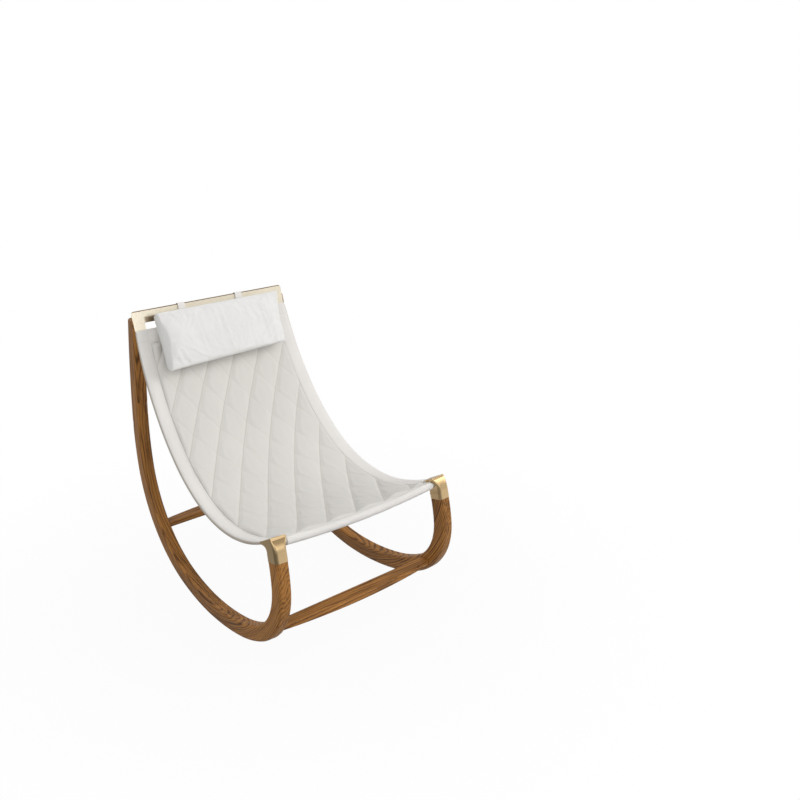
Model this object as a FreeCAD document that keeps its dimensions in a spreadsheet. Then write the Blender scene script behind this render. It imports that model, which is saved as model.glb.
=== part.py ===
"""Rocking sling chair: bent timber rockers, brass fittings, a quilted sling and a strapped head pillow.

Millimetres. +Z is up, the chair faces -Y and the origin lies on the floor under the middle.
The right side is modelled and the left side mirrors it. Angles are in degrees.
"""
import math
import os

import FreeCAD
import Part
import Sketcher

V = FreeCAD.Vector

SIZES = {
    # bent timbers
    "timber_width": 40.0,
    "timber_depth": 52.0,
    "timber_round": 10.0,
    "head_round": 8.0,
    "rocker_spacing": 601.2,
    "toe_angle": 1.71,
    "lean_angle": 1.19,
    # the rocker's path, as tangent arcs from its lowest point
    "rock_front_radius": 793.0,
    "rock_front_angle": 12.8,
    "front_run_radius": 435.0,
    "front_run_angle": 16.6,
    "front_bend_radius": 205.0,
    "front_bend_angle": 65.0,
    "front_post_radius": 547.0,
    "front_post_angle": 8.6,
    "rock_rear_radius": 658.0,
    "rock_rear_angle": 16.5,
    "rear_sweep_radius": 397.0,
    "rear_sweep_angle": 63.5,
    "rear_rise_radius": 847.0,
    "rear_rise_angle": 11.8,
    "rear_post_radius": 3155.0,
    "rear_post_angle": 6.1,
    # stretchers, lying flat where the rocker's path has the stated slope
    "front_brace_slope": 43.0,
    "rear_brace_slope": 47.6,
    "brace_thickness": 18.0,
    "brace_end_width": 34.0,
    "brace_mid_width": 58.0,
    "brace_round": 5.0,
    "dowel_diameter": 10.0,
    "dowel_length": 44.0,
    "dowel_spread": 16.0,
    "dowel_end_gap": 1.0,
    # top plate
    "plate_lean": 15.0,
    "plate_overhang": 15.93,
    "plate_height": 83.0,
    "plate_thickness": 2.8,
    "plate_corner": 9.0,
    "plate_rise": 26.3,
    "seat_setback": 5.4,
    "seat_block_depth": 60.0,
    "rail_height": 41.0,
    "slot_height": 24.0,
    "slot_corner": 5.0,
    "leg_width": 39.0,
    "recess_depth": 0.8,
    "recess_drop": 12.0,
    "plate_screw_diameter": 5.0,
    "plate_screw_head": 9.6,
    "plate_screw_length": 28.0,
    "plate_screw_drop": 73.0,
    "plate_screw_spread": 16.0,
    # front ferrules
    "sleeve_proud": 0.75,
    "sleeve_height": 20.0,
    "flare_height": 66.0,
    "flare_fullness": 0.26,
    "flare_level": 0.62,
    "head_tilt": 17.0,
    "head_thickness": 7.5,
    "head_front": 15.0,
    "head_inner": 31.0,
    "head_inner_rear": 36.0,
    "head_inner_step": 20.0,
    "head_rear": 56.0,
    "head_tip_round": 4.0,
    "tenon_diameter": 24.0,
    "tenon_length": 28.0,
    "clamp_screw_diameter": 5.0,
    "clamp_screw_head": 9.0,
    "clamp_screw_length": 17.0,
    "clamp_head_height": 3.5,
    "clamp_screw_sink": 2.0,
    "clamp_screw_level": 18.0,
    # front rail and its hem
    "rail_diameter": 20.2,
    "rail_up": 52.0,
    "rail_back": -4.0,
    "rail_bow": 17.0,
    "hem_thickness": 1.6,
    "hem_end_gap": 2.0,
    # sling
    "sling_thickness": 13.0,
    "sling_edge": 2.6,
    "sling_overhang": 14.84,
    "sling_top_handle": 27.0,
    "sling_front_handle": 640.0,
    "sling_front_slope": 29.0,
    "seat_dish": 14.0,
    "hem_inset": 3.0,
    "hem_height": 42.0,
    # quilted pad
    "pad_border": 47.0,
    "pad_top_gap": 46.0,
    "pad_front_gap": 24.0,
    "pad_lift": 0.3,
    "pad_edge": 1.5,
    "pad_puff": 6.0,
    "quilt_width": 95.0,
    "quilt_length": 166.0,
    # head pillow and straps
    "pillow_width": 450.0,
    "pillow_height": 188.0,
    "pillow_thickness": 39.0,
    "pillow_end_height": 172.0,
    "pillow_end_thickness": 8.0,
    "pillow_drop": 15.0,
    "pillow_offset": 10.0,
    "pillow_rest": 8.0,
    "strap_width": 25.5,
    "strap_thickness": 1.6,
    "strap_spacing": 218.0,
    "strap_offset": 1.3,
    # clearances
    "close_fit": 0.1,
    "cloth_gap": 0.4,
}

FRONT_ARCS = ("rock_front", "front_run", "front_bend", "front_post")
REAR_ARCS = ("rock_rear", "rear_sweep", "rear_rise", "rear_post")
SLING_STATIONS = 33
# where along the sling its padding begins and ends, and how gently, as shares of its length
PADDING_START, PADDING_GROWS = 0.1, 0.25
PADDING_END, PADDING_SHRINKS = 1.06, 0.2
# the pillow's front from top to bottom, as shares of its thickness and of its height off the middle
PILLOW_CROWN = ((0.62, 0.33), (1.0, -0.04), (0.93, -0.34))
PAD_STEPS_PER_QUILT = 4
PILLOW_SECTIONS = 9


def chain_formulas(side, sign, arcs):
    """Formulas for the slope and the end point of each tangent arc from the lowest point."""
    cells = {side + "_turn_0": "0", side + "_y_0": "0", side + "_z_0": "timber_depth / 2"}
    for number, arc in enumerate(arcs):
        last, here = str(number), str(number + 1)
        turn, before = side + "_turn_" + here, side + "_turn_" + last
        cells[turn] = f"{before} + {arc}_angle"
        cells[side + "_y_" + here] = (
            f"{side}_y_{last} + {sign} * {arc}_radius * (sin({turn}) - sin({before}))")
        cells[side + "_z_" + here] = f"{side}_z_{last} + {arc}_radius * (cos({before}) - cos({turn}))"
    return cells


def point_formulas(name, y, z):
    """Formulas that take a point of the right rocker's own plane into the chair's frame."""
    return {
        name + "_x": f"rocker_spacing / 2 - ({z}) * sin(lean_angle) * cos(toe_angle)"
                     f" - ({y}) * sin(toe_angle)",
        name + "_y": f"contact_y - ({z}) * sin(lean_angle) * sin(toe_angle) + ({y}) * cos(toe_angle)",
        name + "_z": f"lift + ({z}) * cos(lean_angle)",
    }


def formulas():
    """Every derived value, in the order in which each one needs the others."""
    cells = chain_formulas("front", -1, FRONT_ARCS)
    cells.update(chain_formulas("rear", 1, REAR_ARCS))
    cells["front_reach"] = "front_bend_radius * (1 - sin(front_turn_2)) - front_y_2 + timber_depth / 2"
    cells["rear_reach"] = "rear_rise_radius * (1 - sin(rear_turn_2)) + rear_y_2 + timber_depth / 2"
    cells["contact_y"] = "(front_reach - rear_reach) / 2 * cos(toe_angle)"
    cells["lift"] = ("(timber_width / 2 - timber_round) * sin(lean_angle)"
                     " + timber_round * (1 - cos(lean_angle))")
    cells["post_lean"] = "front_turn_4 - 90"
    cells.update(point_formulas("shoulder", "front_y_4", "front_z_4"))
    cells.update(point_formulas("head", "rear_y_4", "rear_z_4"))
    cells.update(point_formulas(
        "front_brace",
        "front_y_2 - front_bend_radius * (sin(front_brace_slope) - sin(front_turn_2))",
        "front_z_2 + front_bend_radius * (cos(front_turn_2) - cos(front_brace_slope))"))
    cells.update(point_formulas(
        "rear_brace",
        "rear_y_1 + rear_sweep_radius * (sin(rear_brace_slope) - sin(rear_turn_1))",
        "rear_z_1 + rear_sweep_radius * (cos(rear_turn_1) - cos(rear_brace_slope))"))
    cells.update(point_formulas(
        "rail",
        "front_y_4 + rail_back * cos(post_lean) + rail_up * sin(post_lean)",
        "front_z_4 - rail_back * sin(post_lean) + rail_up * cos(post_lean)"))
    cells["bow_radius"] = "(rail_x ^ 2 + rail_bow ^ 2) / (2 * rail_bow)"
    cells["bow_centre_z"] = "rail_z - rail_bow + bow_radius"
    cells["rail_half_turn"] = "asin(rail_x / bow_radius) / 1 deg"
    cells["hem_half_turn"] = "asin((rail_x - head_inner - hem_end_gap) / bow_radius) / 1 deg"
    cells["hem_radius"] = "rail_diameter / 2 + close_fit + hem_thickness"
    cells["plate_y"] = "head_y - seat_setback + plate_rise * tan(plate_lean)"
    cells["plate_z"] = "head_z + plate_rise"
    cells["plate_length"] = "2 * (head_x + plate_overhang)"
    cells["sling_front_width"] = "2 * (rail_x + sling_overhang)"
    cells["slot_length"] = "plate_length - 2 * leg_width"
    cells["slot_bottom"] = "rail_height + slot_height"
    cells["hem_half_length"] = "slot_length / 2 - hem_inset"
    return cells


def make_sheet(doc):
    """The spreadsheet that every feature takes its sizes from."""
    sheet = doc.addObject("Spreadsheet::Sheet", "Sizes")
    cells = {name: str(value) for name, value in SIZES.items()}
    cells.update({name: "=" + text for name, text in formulas().items()})
    for row, (name, text) in enumerate(cells.items(), start=1):
        sheet.set(f"A{row}", name.replace("_", " "))
        sheet.set(f"B{row}", text)
        sheet.setAlias(f"B{row}", name)
    doc.recompute()
    return sheet


doc = FreeCAD.newDocument("rocking_chair")
sheet = make_sheet(doc)


def size(name):
    """A value of the sheet as a plain number."""
    value = sheet.get(name)
    return float(getattr(value, "Value", value))


def named(text):
    """An expression written with the sheet's names, ready for a feature's property."""
    words = sorted(set(SIZES) | set(formulas()), key=len, reverse=True)
    out, spot = "", 0
    while spot < len(text):
        start = spot == 0 or not (text[spot - 1].isalnum() or text[spot - 1] == "_")
        word = next((w for w in words if start and text.startswith(w, spot)), None)
        tail = text[spot + len(word):spot + len(word) + 1] if word else ""
        if word and not (tail.isalnum() or tail == "_"):
            out, spot = out + "Sizes." + word, spot + len(word)
        else:
            out, spot = out + text[spot], spot + 1
    return out


def value_of(text):
    """The number that an expression of the sheet's names gives."""
    value = sheet.evalExpression(named(text))
    return float(getattr(value, "Value", value))


def frame(x, y, z, yaw="0", pitch="0", roll="0"):
    """The text of a placement, from names of the sheet."""
    return named(f"create(<<placement>>; create(<<vector>>; {x}; {y}; {z});"
                 f" create(<<rotation>>; {yaw}; {pitch}; {roll}))")


ROCKER = frame("rocker_spacing / 2", "contact_y", "lift", "toe_angle", "0 - lean_angle")
FERRULE = frame("shoulder_x", "shoulder_y", "shoulder_z", "toe_angle", "0 - lean_angle", "0 - post_lean")
PLATE = frame("0", "plate_y", "plate_z", "0", "0", "0 - plate_lean")


def bind(obj, **properties):
    """Bind properties of a feature to expressions written with the sheet's names."""
    for name, text in properties.items():
        obj.setExpression(name, text if text.startswith("create") else named(text))
    return obj


def primitive(kind, name, **properties):
    """A solid primitive bound to the sheet."""
    return bind(doc.addObject("Part::" + kind, name), **properties)


def union(name, shapes):
    """One solid from several features."""
    obj = doc.addObject("Part::MultiFuse", name)
    obj.Shapes = shapes
    return obj


def cut(name, base, tools):
    """A feature less one tool or more."""
    obj = doc.addObject("Part::Cut", name)
    obj.Base = base
    obj.Tool = tools[0] if len(tools) == 1 else union(name + "_tools", tools)
    return obj


def mirrored(name, source):
    """The left twin of a feature of the right side."""
    obj = doc.addObject("Part::Mirroring", name)
    obj.Source = source
    obj.Normal = V(1, 0, 0)
    return obj


def new_sketch(body, name, plane):
    """A sketch on one of the body's own planes."""
    sketch = body.newObject("Sketcher::SketchObject", name)
    support = next(o for o in body.Origin.OriginFeatures if o.Role == plane)
    sketch.AttachmentSupport = [(support, "")]
    sketch.MapMode = "FlatFace"
    return sketch


def datum(sketch, kind, text, *places):
    """A driving dimension bound to the sheet."""
    value = math.radians(value_of(text)) if kind == "Angle" else value_of(text)
    number = sketch.addConstraint(Sketcher.Constraint(kind, *places, value))
    sketch.setExpression(f"Constraints[{number}]", named(text))


def rounded_rectangle(sketch, left, right, bottom, top, corner):
    """A rectangle with round corners; each side is a distance out from the sketch's origin."""
    first = sketch.GeometryCount
    l, r, b, t, c = (value_of(text) for text in (left, right, bottom, top, corner))
    spots = [(-l + c, -b), (r - c, -b), (r, -b + c), (r, t - c), (r - c, t), (-l + c, t), (-l, t - c),
             (-l, -b + c)]
    centres = [(r - c, -b + c, -90), (r - c, t - c, 0), (-l + c, t - c, 90), (-l + c, -b + c, 180)]
    for side in range(4):
        start, end = (V(*spots[2 * side + k], 0) for k in (0, 1))
        sketch.addGeometry(Part.LineSegment(start, end))
        x, y, angle = centres[side]
        circle = Part.Circle(V(x, y, 0), V(0, 0, 1), c)
        sketch.addGeometry(Part.ArcOfCircle(circle, math.radians(angle), math.radians(angle + 90)))
    for side in range(4):
        line, arc = first + 2 * side, first + 2 * side + 1
        following = first + (2 * side + 2) % 8
        sketch.addConstraint(Sketcher.Constraint("Tangent", line, 2, arc, 1))
        sketch.addConstraint(Sketcher.Constraint("Tangent", arc, 2, following, 1))
        sketch.addConstraint(Sketcher.Constraint("Vertical" if side % 2 else "Horizontal", line))
        if side:
            sketch.addConstraint(Sketcher.Constraint("Equal", first + 1, arc))
    datum(sketch, "Radius", corner, first + 1)
    for line, kind, text, sign in ((0, "DistanceY", bottom, -1), (2, "DistanceX", right, 1),
                                   (4, "DistanceY", top, 1), (6, "DistanceX", left, -1)):
        if value_of(text) == 0:
            axis = -1 if kind == "DistanceY" else -2
            sketch.addConstraint(Sketcher.Constraint("PointOnObject", first + line, 1, axis))
            continue
        outward = sign if value_of(text) > 0 else -sign
        ends = ((-1, 1), (first + line, 1)) if outward > 0 else ((first + line, 1), (-1, 1))
        datum(sketch, kind, text if value_of(text) > 0 else f"0 - ({text})", *ends[0], *ends[1])


def arc_chain(sketch, side, sign, arcs):
    """Tangent arcs in the rocker's plane, bound by radius and turn, from its lowest point."""
    for number, arc in enumerate(arcs):
        radius = size(arc + "_radius")
        before, after = (size(f"{side}_turn_{number + k}") for k in (0, 1))
        y, z = size(f"{side}_y_{number}"), size(f"{side}_z_{number}")
        centre = V(y - sign * radius * math.sin(math.radians(before)),
                   z + radius * math.cos(math.radians(before)), 0)
        start, end = (-90 + before, -90 + after) if sign > 0 else (-90 - after, -90 - before)
        circle = Part.Circle(centre, V(0, 0, 1), radius)
        sketch.addGeometry(Part.ArcOfCircle(circle, math.radians(start), math.radians(end)))
        near, far = (1, 2) if sign > 0 else (2, 1)
        if number == 0:
            sketch.addConstraint(Sketcher.Constraint("PointOnObject", 0, 3, -2))
            sketch.addConstraint(Sketcher.Constraint("PointOnObject", 0, near, -2))
            datum(sketch, "DistanceY", "timber_depth / 2", -1, 1, 0, near)
        else:
            sketch.addConstraint(Sketcher.Constraint("Tangent", number - 1, far, number, near))
        datum(sketch, "Radius", arc + "_radius", number)
        datum(sketch, "Angle", arc + "_angle", number)


def make_rocker_body():
    """The bent timber of the right side, in its own frame."""
    body = doc.addObject("PartDesign::Body", "rocker_timber")
    section = new_sketch(body, "timber_section", "XZ_Plane")
    rounded_rectangle(section, "timber_width / 2", "timber_width / 2", "0", "timber_depth", "timber_round")
    for side, sign, arcs in (("rear", 1, REAR_ARCS), ("front", -1, FRONT_ARCS)):
        spine = new_sketch(body, side + "_path", "YZ_Plane")
        arc_chain(spine, side, sign, arcs)
        doc.recompute()
        pipe = body.newObject("PartDesign::AdditivePipe", side + "_sweep")
        pipe.Profile = section
        pipe.Spine = spine
        pipe.Mode = "Standard"
        doc.recompute()
    tip = V(0, size("rear_y_4"), size("rear_z_4"))
    faces = body.Shape.Faces
    number = min(range(len(faces)), key=lambda k: faces[k].CenterOfMass.distanceToPoint(tip))
    dome = body.newObject("PartDesign::Fillet", "head_dome")
    dome.Base = (pipe, [f"Face{number + 1}"])
    bind(dome, Radius="head_round")
    bind(body, Placement=ROCKER)
    doc.recompute()
    return body


def rounded_loop(corners, radii):
    """A closed outline of lines and corner arcs in the plane z = 0."""
    edges, count = [], len(corners)
    spots = []
    for k, corner in enumerate(corners):
        here = V(*corner, 0)
        back = (V(*corners[k - 1], 0) - here).normalize()
        on = (V(*corners[(k + 1) % count], 0) - here).normalize()
        half = back.getAngle(on) / 2
        reach = radii[k] / math.tan(half)
        middle = (back + on).normalize()
        centre = here + middle * (radii[k] / math.sin(half))
        spots.append((here + back * reach, centre - middle * radii[k], here + on * reach))
    for k, (start, middle, end) in enumerate(spots):
        edges.append(Part.Arc(start, middle, end).toShape())
        edges.append(Part.makeLine(end, spots[(k + 1) % count][0]))
    return Part.Wire(edges)


def blend(a, b, share):
    """A point or number part of the way from one to the other."""
    if isinstance(a, tuple):
        return tuple(blend(p, q, share) for p, q in zip(a, b))
    return a + (b - a) * share


def ferrule_sections():
    """Corner points and radii of the sleeve and of the corner plate, from the post's centre."""
    half_x = size("timber_width") / 2 + size("sleeve_proud")
    half_y = size("timber_depth") / 2 + size("sleeve_proud")
    round_out = size("timber_round") + size("sleeve_proud")
    sleeve = [(half_x, -half_y), (half_x, half_y), (-half_x, half_y), (-half_x, -half_y)]
    plate = [(half_x, -size("head_front")), (half_x, size("head_rear")),
             (-size("head_inner_step"), size("head_inner_rear")),
             (-size("head_inner"), -size("head_front"))]
    tip = size("head_tip_round")
    return (sleeve, [round_out] * 4), (plate, [tip, tip, round_out, tip])


def head_frame():
    """The tilted frame of the corner plate's underside in the ferrule's frame."""
    tilt = FreeCAD.Rotation(V(1, 0, 0), -size("head_tilt"))
    slope = math.tan(math.radians(size("head_tilt")))
    return FreeCAD.Placement(V(0, 0, size("flare_height") - size("head_front") * slope), tilt)


def make_casting():
    """The ferrule's casting before its sockets: sleeve, flare and corner plate."""
    (sleeve, sleeve_round), (plate, plate_round) = ferrule_sections()
    low = rounded_loop(sleeve, sleeve_round)
    start = V(0, 0, size("sleeve_height"))
    share, level = size("flare_fullness"), size("flare_level")
    middle = rounded_loop([blend(a, b, share) for a, b in zip(sleeve, plate)],
                          [blend(a, b, share) for a, b in zip(sleeve_round, plate_round)])
    top_frame = head_frame()
    middle.Placement = FreeCAD.Placement(
        V(*blend(tuple(start), tuple(top_frame.Base), level)),
        FreeCAD.Rotation(V(1, 0, 0), -size("head_tilt") * level * level))
    top = rounded_loop(plate, plate_round)
    top.Placement = top_frame
    bottom = low.copy()
    bottom.translate(start)
    flare = Part.makeLoft([bottom, middle, top], True, False)
    tube = Part.Face(low).extrude(start)
    cap = Part.Face(top).extrude(top_frame.Rotation.multVec(V(0, 0, size("head_thickness"))))
    casting = doc.addObject("Part::Feature", "ferrule_casting")
    casting.Shape = tube.fuse([flare, cap]).removeSplitter()
    bind(casting, Placement=FERRULE)
    return casting


def head_notch():
    """The corner plate's outline, widened by the cloth gap and drawn through the sling."""
    _, (plate, plate_round) = ferrule_sections()
    loop = rounded_loop(plate, plate_round).makeOffset2D(size("cloth_gap"))
    depth = size("sling_thickness") * 2
    loop.translate(V(0, 0, -depth))
    block = Part.Face(loop).extrude(V(0, 0, 2 * depth))
    notch = doc.addObject("Part::Feature", "ferrule_notch")
    notch.Shape = block.transformed(head_frame().toMatrix(), True)
    bind(notch, Placement=FERRULE)
    return notch


def sling_curve():
    """End points and handles of the sling's upper line, as (y, z) pairs from the plate to the rail."""
    lean, slope = math.radians(size("plate_lean")), math.radians(size("sling_front_slope"))
    down = (-math.sin(lean), -math.cos(lean))
    out = size("plate_thickness") + size("cloth_gap") + size("sling_edge")
    drop = size("slot_bottom") - size("hem_thickness") - size("cloth_gap")
    start = (size("plate_y") + down[0] * drop - math.cos(lean) * out,
             size("plate_z") + down[1] * drop + math.sin(lean) * out)
    rise = (math.sin(slope), math.cos(slope))
    end = (size("rail_y") + rise[0] * size("hem_radius"), size("rail_z") + rise[1] * size("hem_radius"))
    top, front = size("sling_top_handle"), size("sling_front_handle")
    return (start, (start[0] + down[0] * top, start[1] + down[1] * top),
            (end[0] + rise[1] * front, end[1] - rise[0] * front), end)


def sling_point(curve, t, across, height):
    """A point of the sling: t runs from plate to rail, across from -1 to 1, height off its upper face."""
    weights = ((1 - t) ** 3, 3 * t * (1 - t) ** 2, 3 * t * t * (1 - t), t ** 3)
    slopes = (-3 * (1 - t) ** 2, 3 * (1 - t) * (1 - 3 * t), 3 * t * (2 - 3 * t), 3 * t * t)
    y, z = (sum(w * p[k] for w, p in zip(weights, curve)) for k in (0, 1))
    along = V(0, *(sum(s * p[k] for s, p in zip(slopes, curve)) for k in (0, 1))).normalize()
    rise = V(*blend((0, along.z, -along.y), (0, 0, 1), t ** 4)).normalize()
    dish = size("seat_dish") * math.sin(math.pi * t) ** 2 + size("rail_bow") * t ** 6
    half = blend(size("plate_length"), size("sling_front_width"), t) / 2
    return V(half * across, y, z) + rise * (height - dish * (1 - across * across))


def ease(value):
    """A smooth step from 0 to 1."""
    value = min(max(value, 0), 1)
    return value * value * (3 - 2 * value)


def sling_depth(t):
    """The sling's thickness, thin at the top hem and at the rail."""
    full, thin = size("sling_thickness"), size("sling_edge")
    grown = ease((t - PADDING_START) / PADDING_GROWS)
    return thin + (full - thin) * grown * ease((PADDING_END - t) / PADDING_SHRINKS)


def bowed(start, middle, end):
    """An arc through three points, or the straight line where they have no bow."""
    chord = end - start
    if (middle - start).cross(chord).Length < 1e-6 * chord.Length:
        return Part.makeLine(start, end)
    return Part.Arc(start, middle, end).toShape()


def make_sling():
    """The padded cloth from plate to rail, lofted through arc sections."""
    curve, wires = sling_curve(), []
    for number in range(SLING_STATIONS):
        t = number / (SLING_STATIONS - 1)
        depth = sling_depth(t)
        inset = 1 - depth / size("sling_front_width")
        upper = [sling_point(curve, t, a, 0) for a in (-inset, 0, inset)]
        lower = [sling_point(curve, t, a, -depth) for a in (inset, 0, -inset)]
        right, left = (sling_point(curve, t, a, -depth / 2) for a in (1, -1))
        wires.append(Part.Wire([bowed(*upper), bowed(upper[2], right, lower[0]),
                                bowed(*lower), bowed(lower[2], left, upper[0])]))
    sling = doc.addObject("Part::Feature", "sling_cloth")
    sling.Shape = Part.makeLoft(wires, True, True)
    return sling


def pad_grid(curve):
    """Rows of (t, across, seam height) over the panel, spaced evenly along the sling."""
    steps = 400
    fine = [sling_point(curve, k / steps, 0, 0) for k in range(steps + 1)]
    run = [0.0]
    for a, b in zip(fine, fine[1:]):
        run.append(run[-1] + a.distanceToPoint(b))
    start, end = size("pad_top_gap"), run[-1] - size("pad_front_gap")
    rows = round((end - start) / size("quilt_length") * PAD_STEPS_PER_QUILT)
    wide = size("plate_length") - 2 * size("pad_border")
    columns = round(wide / size("quilt_width") * PAD_STEPS_PER_QUILT)
    grid = []
    for row in range(rows + 1):
        length = blend(start, end, row / rows)
        place = next(k for k in range(1, steps + 1) if run[k] >= length)
        t = (place - 1 + (length - run[place - 1]) / (run[place] - run[place - 1])) / steps
        half = blend(size("plate_length"), size("sling_front_width"), t) / 2
        edge = 1 - size("pad_border") / half
        grid.append([])
        for column in range(columns + 1):
            seams = math.cos(math.pi * (column + row) / PAD_STEPS_PER_QUILT) * math.cos(
                math.pi * (column - row) / PAD_STEPS_PER_QUILT)
            rim = row in (0, rows) or column in (0, columns)
            puff = 0 if rim else size("pad_puff") * math.sqrt(abs(seams))
            grid[-1].append((t, edge * (2 * column / columns - 1), size("pad_edge") + puff))
    return grid


def make_pad():
    """The quilted panel, puffed between two families of slanted seams."""
    curve = sling_curve()
    grid = pad_grid(curve)
    gap = size("cloth_gap") + size("pad_lift")
    upper = [[sling_point(curve, t, side, gap + puff) for t, side, puff in row] for row in grid]
    lower = [[sling_point(curve, t, side, gap) for t, side, puff in row] for row in grid]
    facets = []
    for points in (upper, lower):
        for r in range(len(grid) - 1):
            for c in range(len(grid[0]) - 1):
                a, b, d, e = points[r][c], points[r][c + 1], points[r + 1][c + 1], points[r + 1][c]
                facets += [(a, b, d), (a, d, e)] if (r + c) % 2 else [(a, b, e), (b, d, e)]
    for high, low in ((upper[0], lower[0]), (upper[-1], lower[-1]),
                      ([r[0] for r in upper], [r[0] for r in lower]),
                      ([r[-1] for r in upper], [r[-1] for r in lower])):
        for k in range(len(high) - 1):
            facets += [(high[k], high[k + 1], low[k]), (high[k + 1], low[k + 1], low[k])]
    shell = Part.makeShell([Part.Face(Part.makePolygon(f + f[:1])) for f in facets])
    shell.sewShape()
    solid = Part.makeSolid(shell)
    if solid.Volume < 0:
        solid.reverse()
    pad = doc.addObject("Part::Feature", "quilted_pad")
    pad.Shape = solid
    return pad


def make_pillow():
    """The head pillow, fullest low in front and drawn in at its ends, in the hinge's frame."""
    wires = []
    for number in range(PILLOW_SECTIONS):
        side = math.sin(math.pi / 2 * (2 * number / (PILLOW_SECTIONS - 1) - 1))
        full = math.sqrt(max(0, 1 - side ** 4))
        height = blend(size("pillow_end_height"), size("pillow_height"), full)
        thick = blend(size("pillow_end_thickness"), size("pillow_thickness"), full)
        x = side * size("pillow_width") / 2
        middle = -size("pillow_height") / 2
        top, low = V(x, 0, middle + height / 2), V(x, 0, middle - height / 2)
        crown = [V(x, -thick * share, middle + height * level) for share, level in PILLOW_CROWN]
        front = Part.BSplineCurve()
        front.interpolate([top] + crown + [low])
        wires.append(Part.Wire([front.toShape(), Part.makeLine(low, top)]))
    pillow = doc.addObject("Part::Feature", "head_pillow")
    pillow.Shape = Part.makeLoft(wires, True, False)
    out = "(plate_thickness + 2 * cloth_gap + strap_thickness)"
    bind(pillow, Placement=frame(
        "pillow_offset",
        f"plate_y - pillow_drop * sin(plate_lean) - {out} * cos(plate_lean)",
        f"plate_z - pillow_drop * cos(plate_lean) + {out} * sin(plate_lean)",
        "0", "0", "0 - plate_lean - pillow_rest"))
    return pillow


def make_strap(name, place):
    """A cloth loop round the plate's upper rail."""
    body = doc.addObject("PartDesign::Body", name)
    outline = new_sketch(body, name + "_outline", "YZ_Plane")
    inner = "cloth_gap"
    outer = "(cloth_gap + strap_thickness)"
    for gap, corner in ((outer, "strap_thickness + cloth_gap / 2"), (inner, "cloth_gap / 2")):
        rounded_rectangle(outline, f"plate_thickness + {gap}", gap, f"rail_height + {gap}", gap, corner)
    doc.recompute()
    pad = body.newObject("PartDesign::Pad", name + "_weave")
    pad.Profile = outline
    pad.Midplane = True
    bind(pad, Length="strap_width")
    bind(body, Placement=frame(place, "plate_y", "plate_z", "0", "0", "0 - plate_lean"))
    doc.recompute()
    return body


def make_plate_body():
    """The brass frame: upper rail, two legs and the lower rail round a long slot."""
    body = doc.addObject("PartDesign::Body", "plate_frame")
    outline = new_sketch(body, "plate_outline", "XZ_Plane")
    rounded_rectangle(outline, "plate_length / 2", "plate_length / 2", "plate_height", "0", "plate_corner")
    rounded_rectangle(outline, "slot_length / 2", "slot_length / 2", "slot_bottom", "0 - rail_height",
                      "slot_corner")
    doc.recompute()
    pad = body.newObject("PartDesign::Pad", "plate_sheet")
    pad.Profile = outline
    bind(pad, Length="plate_thickness")
    doc.recompute()
    bind(body, Placement=PLATE)
    return body


def make_brace_body(name, station, turn):
    """A flat board across the chair, straight inside and bowed outside, longer than it needs to be."""
    body = doc.addObject("PartDesign::Body", name + "_board")
    outline = new_sketch(body, name + "_outline", "XY_Plane")
    reach, end, bow = (value_of(t) for t in ("rocker_spacing / 2", "brace_end_width / 2",
                                             "brace_mid_width - brace_end_width / 2"))
    corners = [V(-reach, -end, 0), V(reach, -end, 0), V(reach, end, 0), V(-reach, end, 0)]
    outline.addGeometry(Part.LineSegment(corners[0], corners[1]))
    outline.addGeometry(Part.LineSegment(corners[1], corners[2]))
    outline.addGeometry(Part.Arc(corners[2], V(0, bow, 0), corners[3]))
    outline.addGeometry(Part.LineSegment(corners[3], corners[0]))
    for side in range(4):
        outline.addConstraint(Sketcher.Constraint("Coincident", side, 2, (side + 1) % 4, 1))
    for line, axis in ((0, -2), (1, -1), (3, -1)):
        outline.addConstraint(Sketcher.Constraint("Symmetric", line, 1, line, 2, axis))
    datum(outline, "DistanceX", "rocker_spacing", 0, 1, 0, 2)
    datum(outline, "DistanceY", "brace_end_width", 1, 1, 1, 2)
    rise = "(brace_mid_width - brace_end_width)"
    datum(outline, "Radius", f"((rocker_spacing / 2) ^ 2 + {rise} ^ 2) / (2 * {rise})", 2)
    doc.recompute()
    pad = body.newObject("PartDesign::Pad", name + "_plank")
    pad.Profile = outline
    pad.Midplane = True
    bind(pad, Length="brace_thickness")
    doc.recompute()
    long_edges = [f"Edge{k + 1}" for k, e in enumerate(pad.Shape.Edges) if e.Length > reach]
    soft = body.newObject("PartDesign::Fillet", name + "_soft_edges")
    soft.Base = (pad, long_edges)
    bind(soft, Radius="brace_round")
    bind(body, Placement=frame("0", station + "_y", station + "_z", turn))
    doc.recompute()
    return body


def dowel(name, station, side, gap, growth):
    """A cylinder across one stretcher joint; the gap lengthens it and the growth widens it for its hole."""
    half = "dowel_length / 2" + (" + dowel_end_gap" if gap else "")
    return primitive(
        "Cylinder", name,
        Radius=f"dowel_diameter / 2 + {growth}", Height=f"2 * ({half})",
        Placement=frame(f"{station}_x - timber_width / 2 - ({half})",
                        f"{station}_y + {side} * dowel_spread / 2", station + "_z", "0", "90", "0"))


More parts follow.
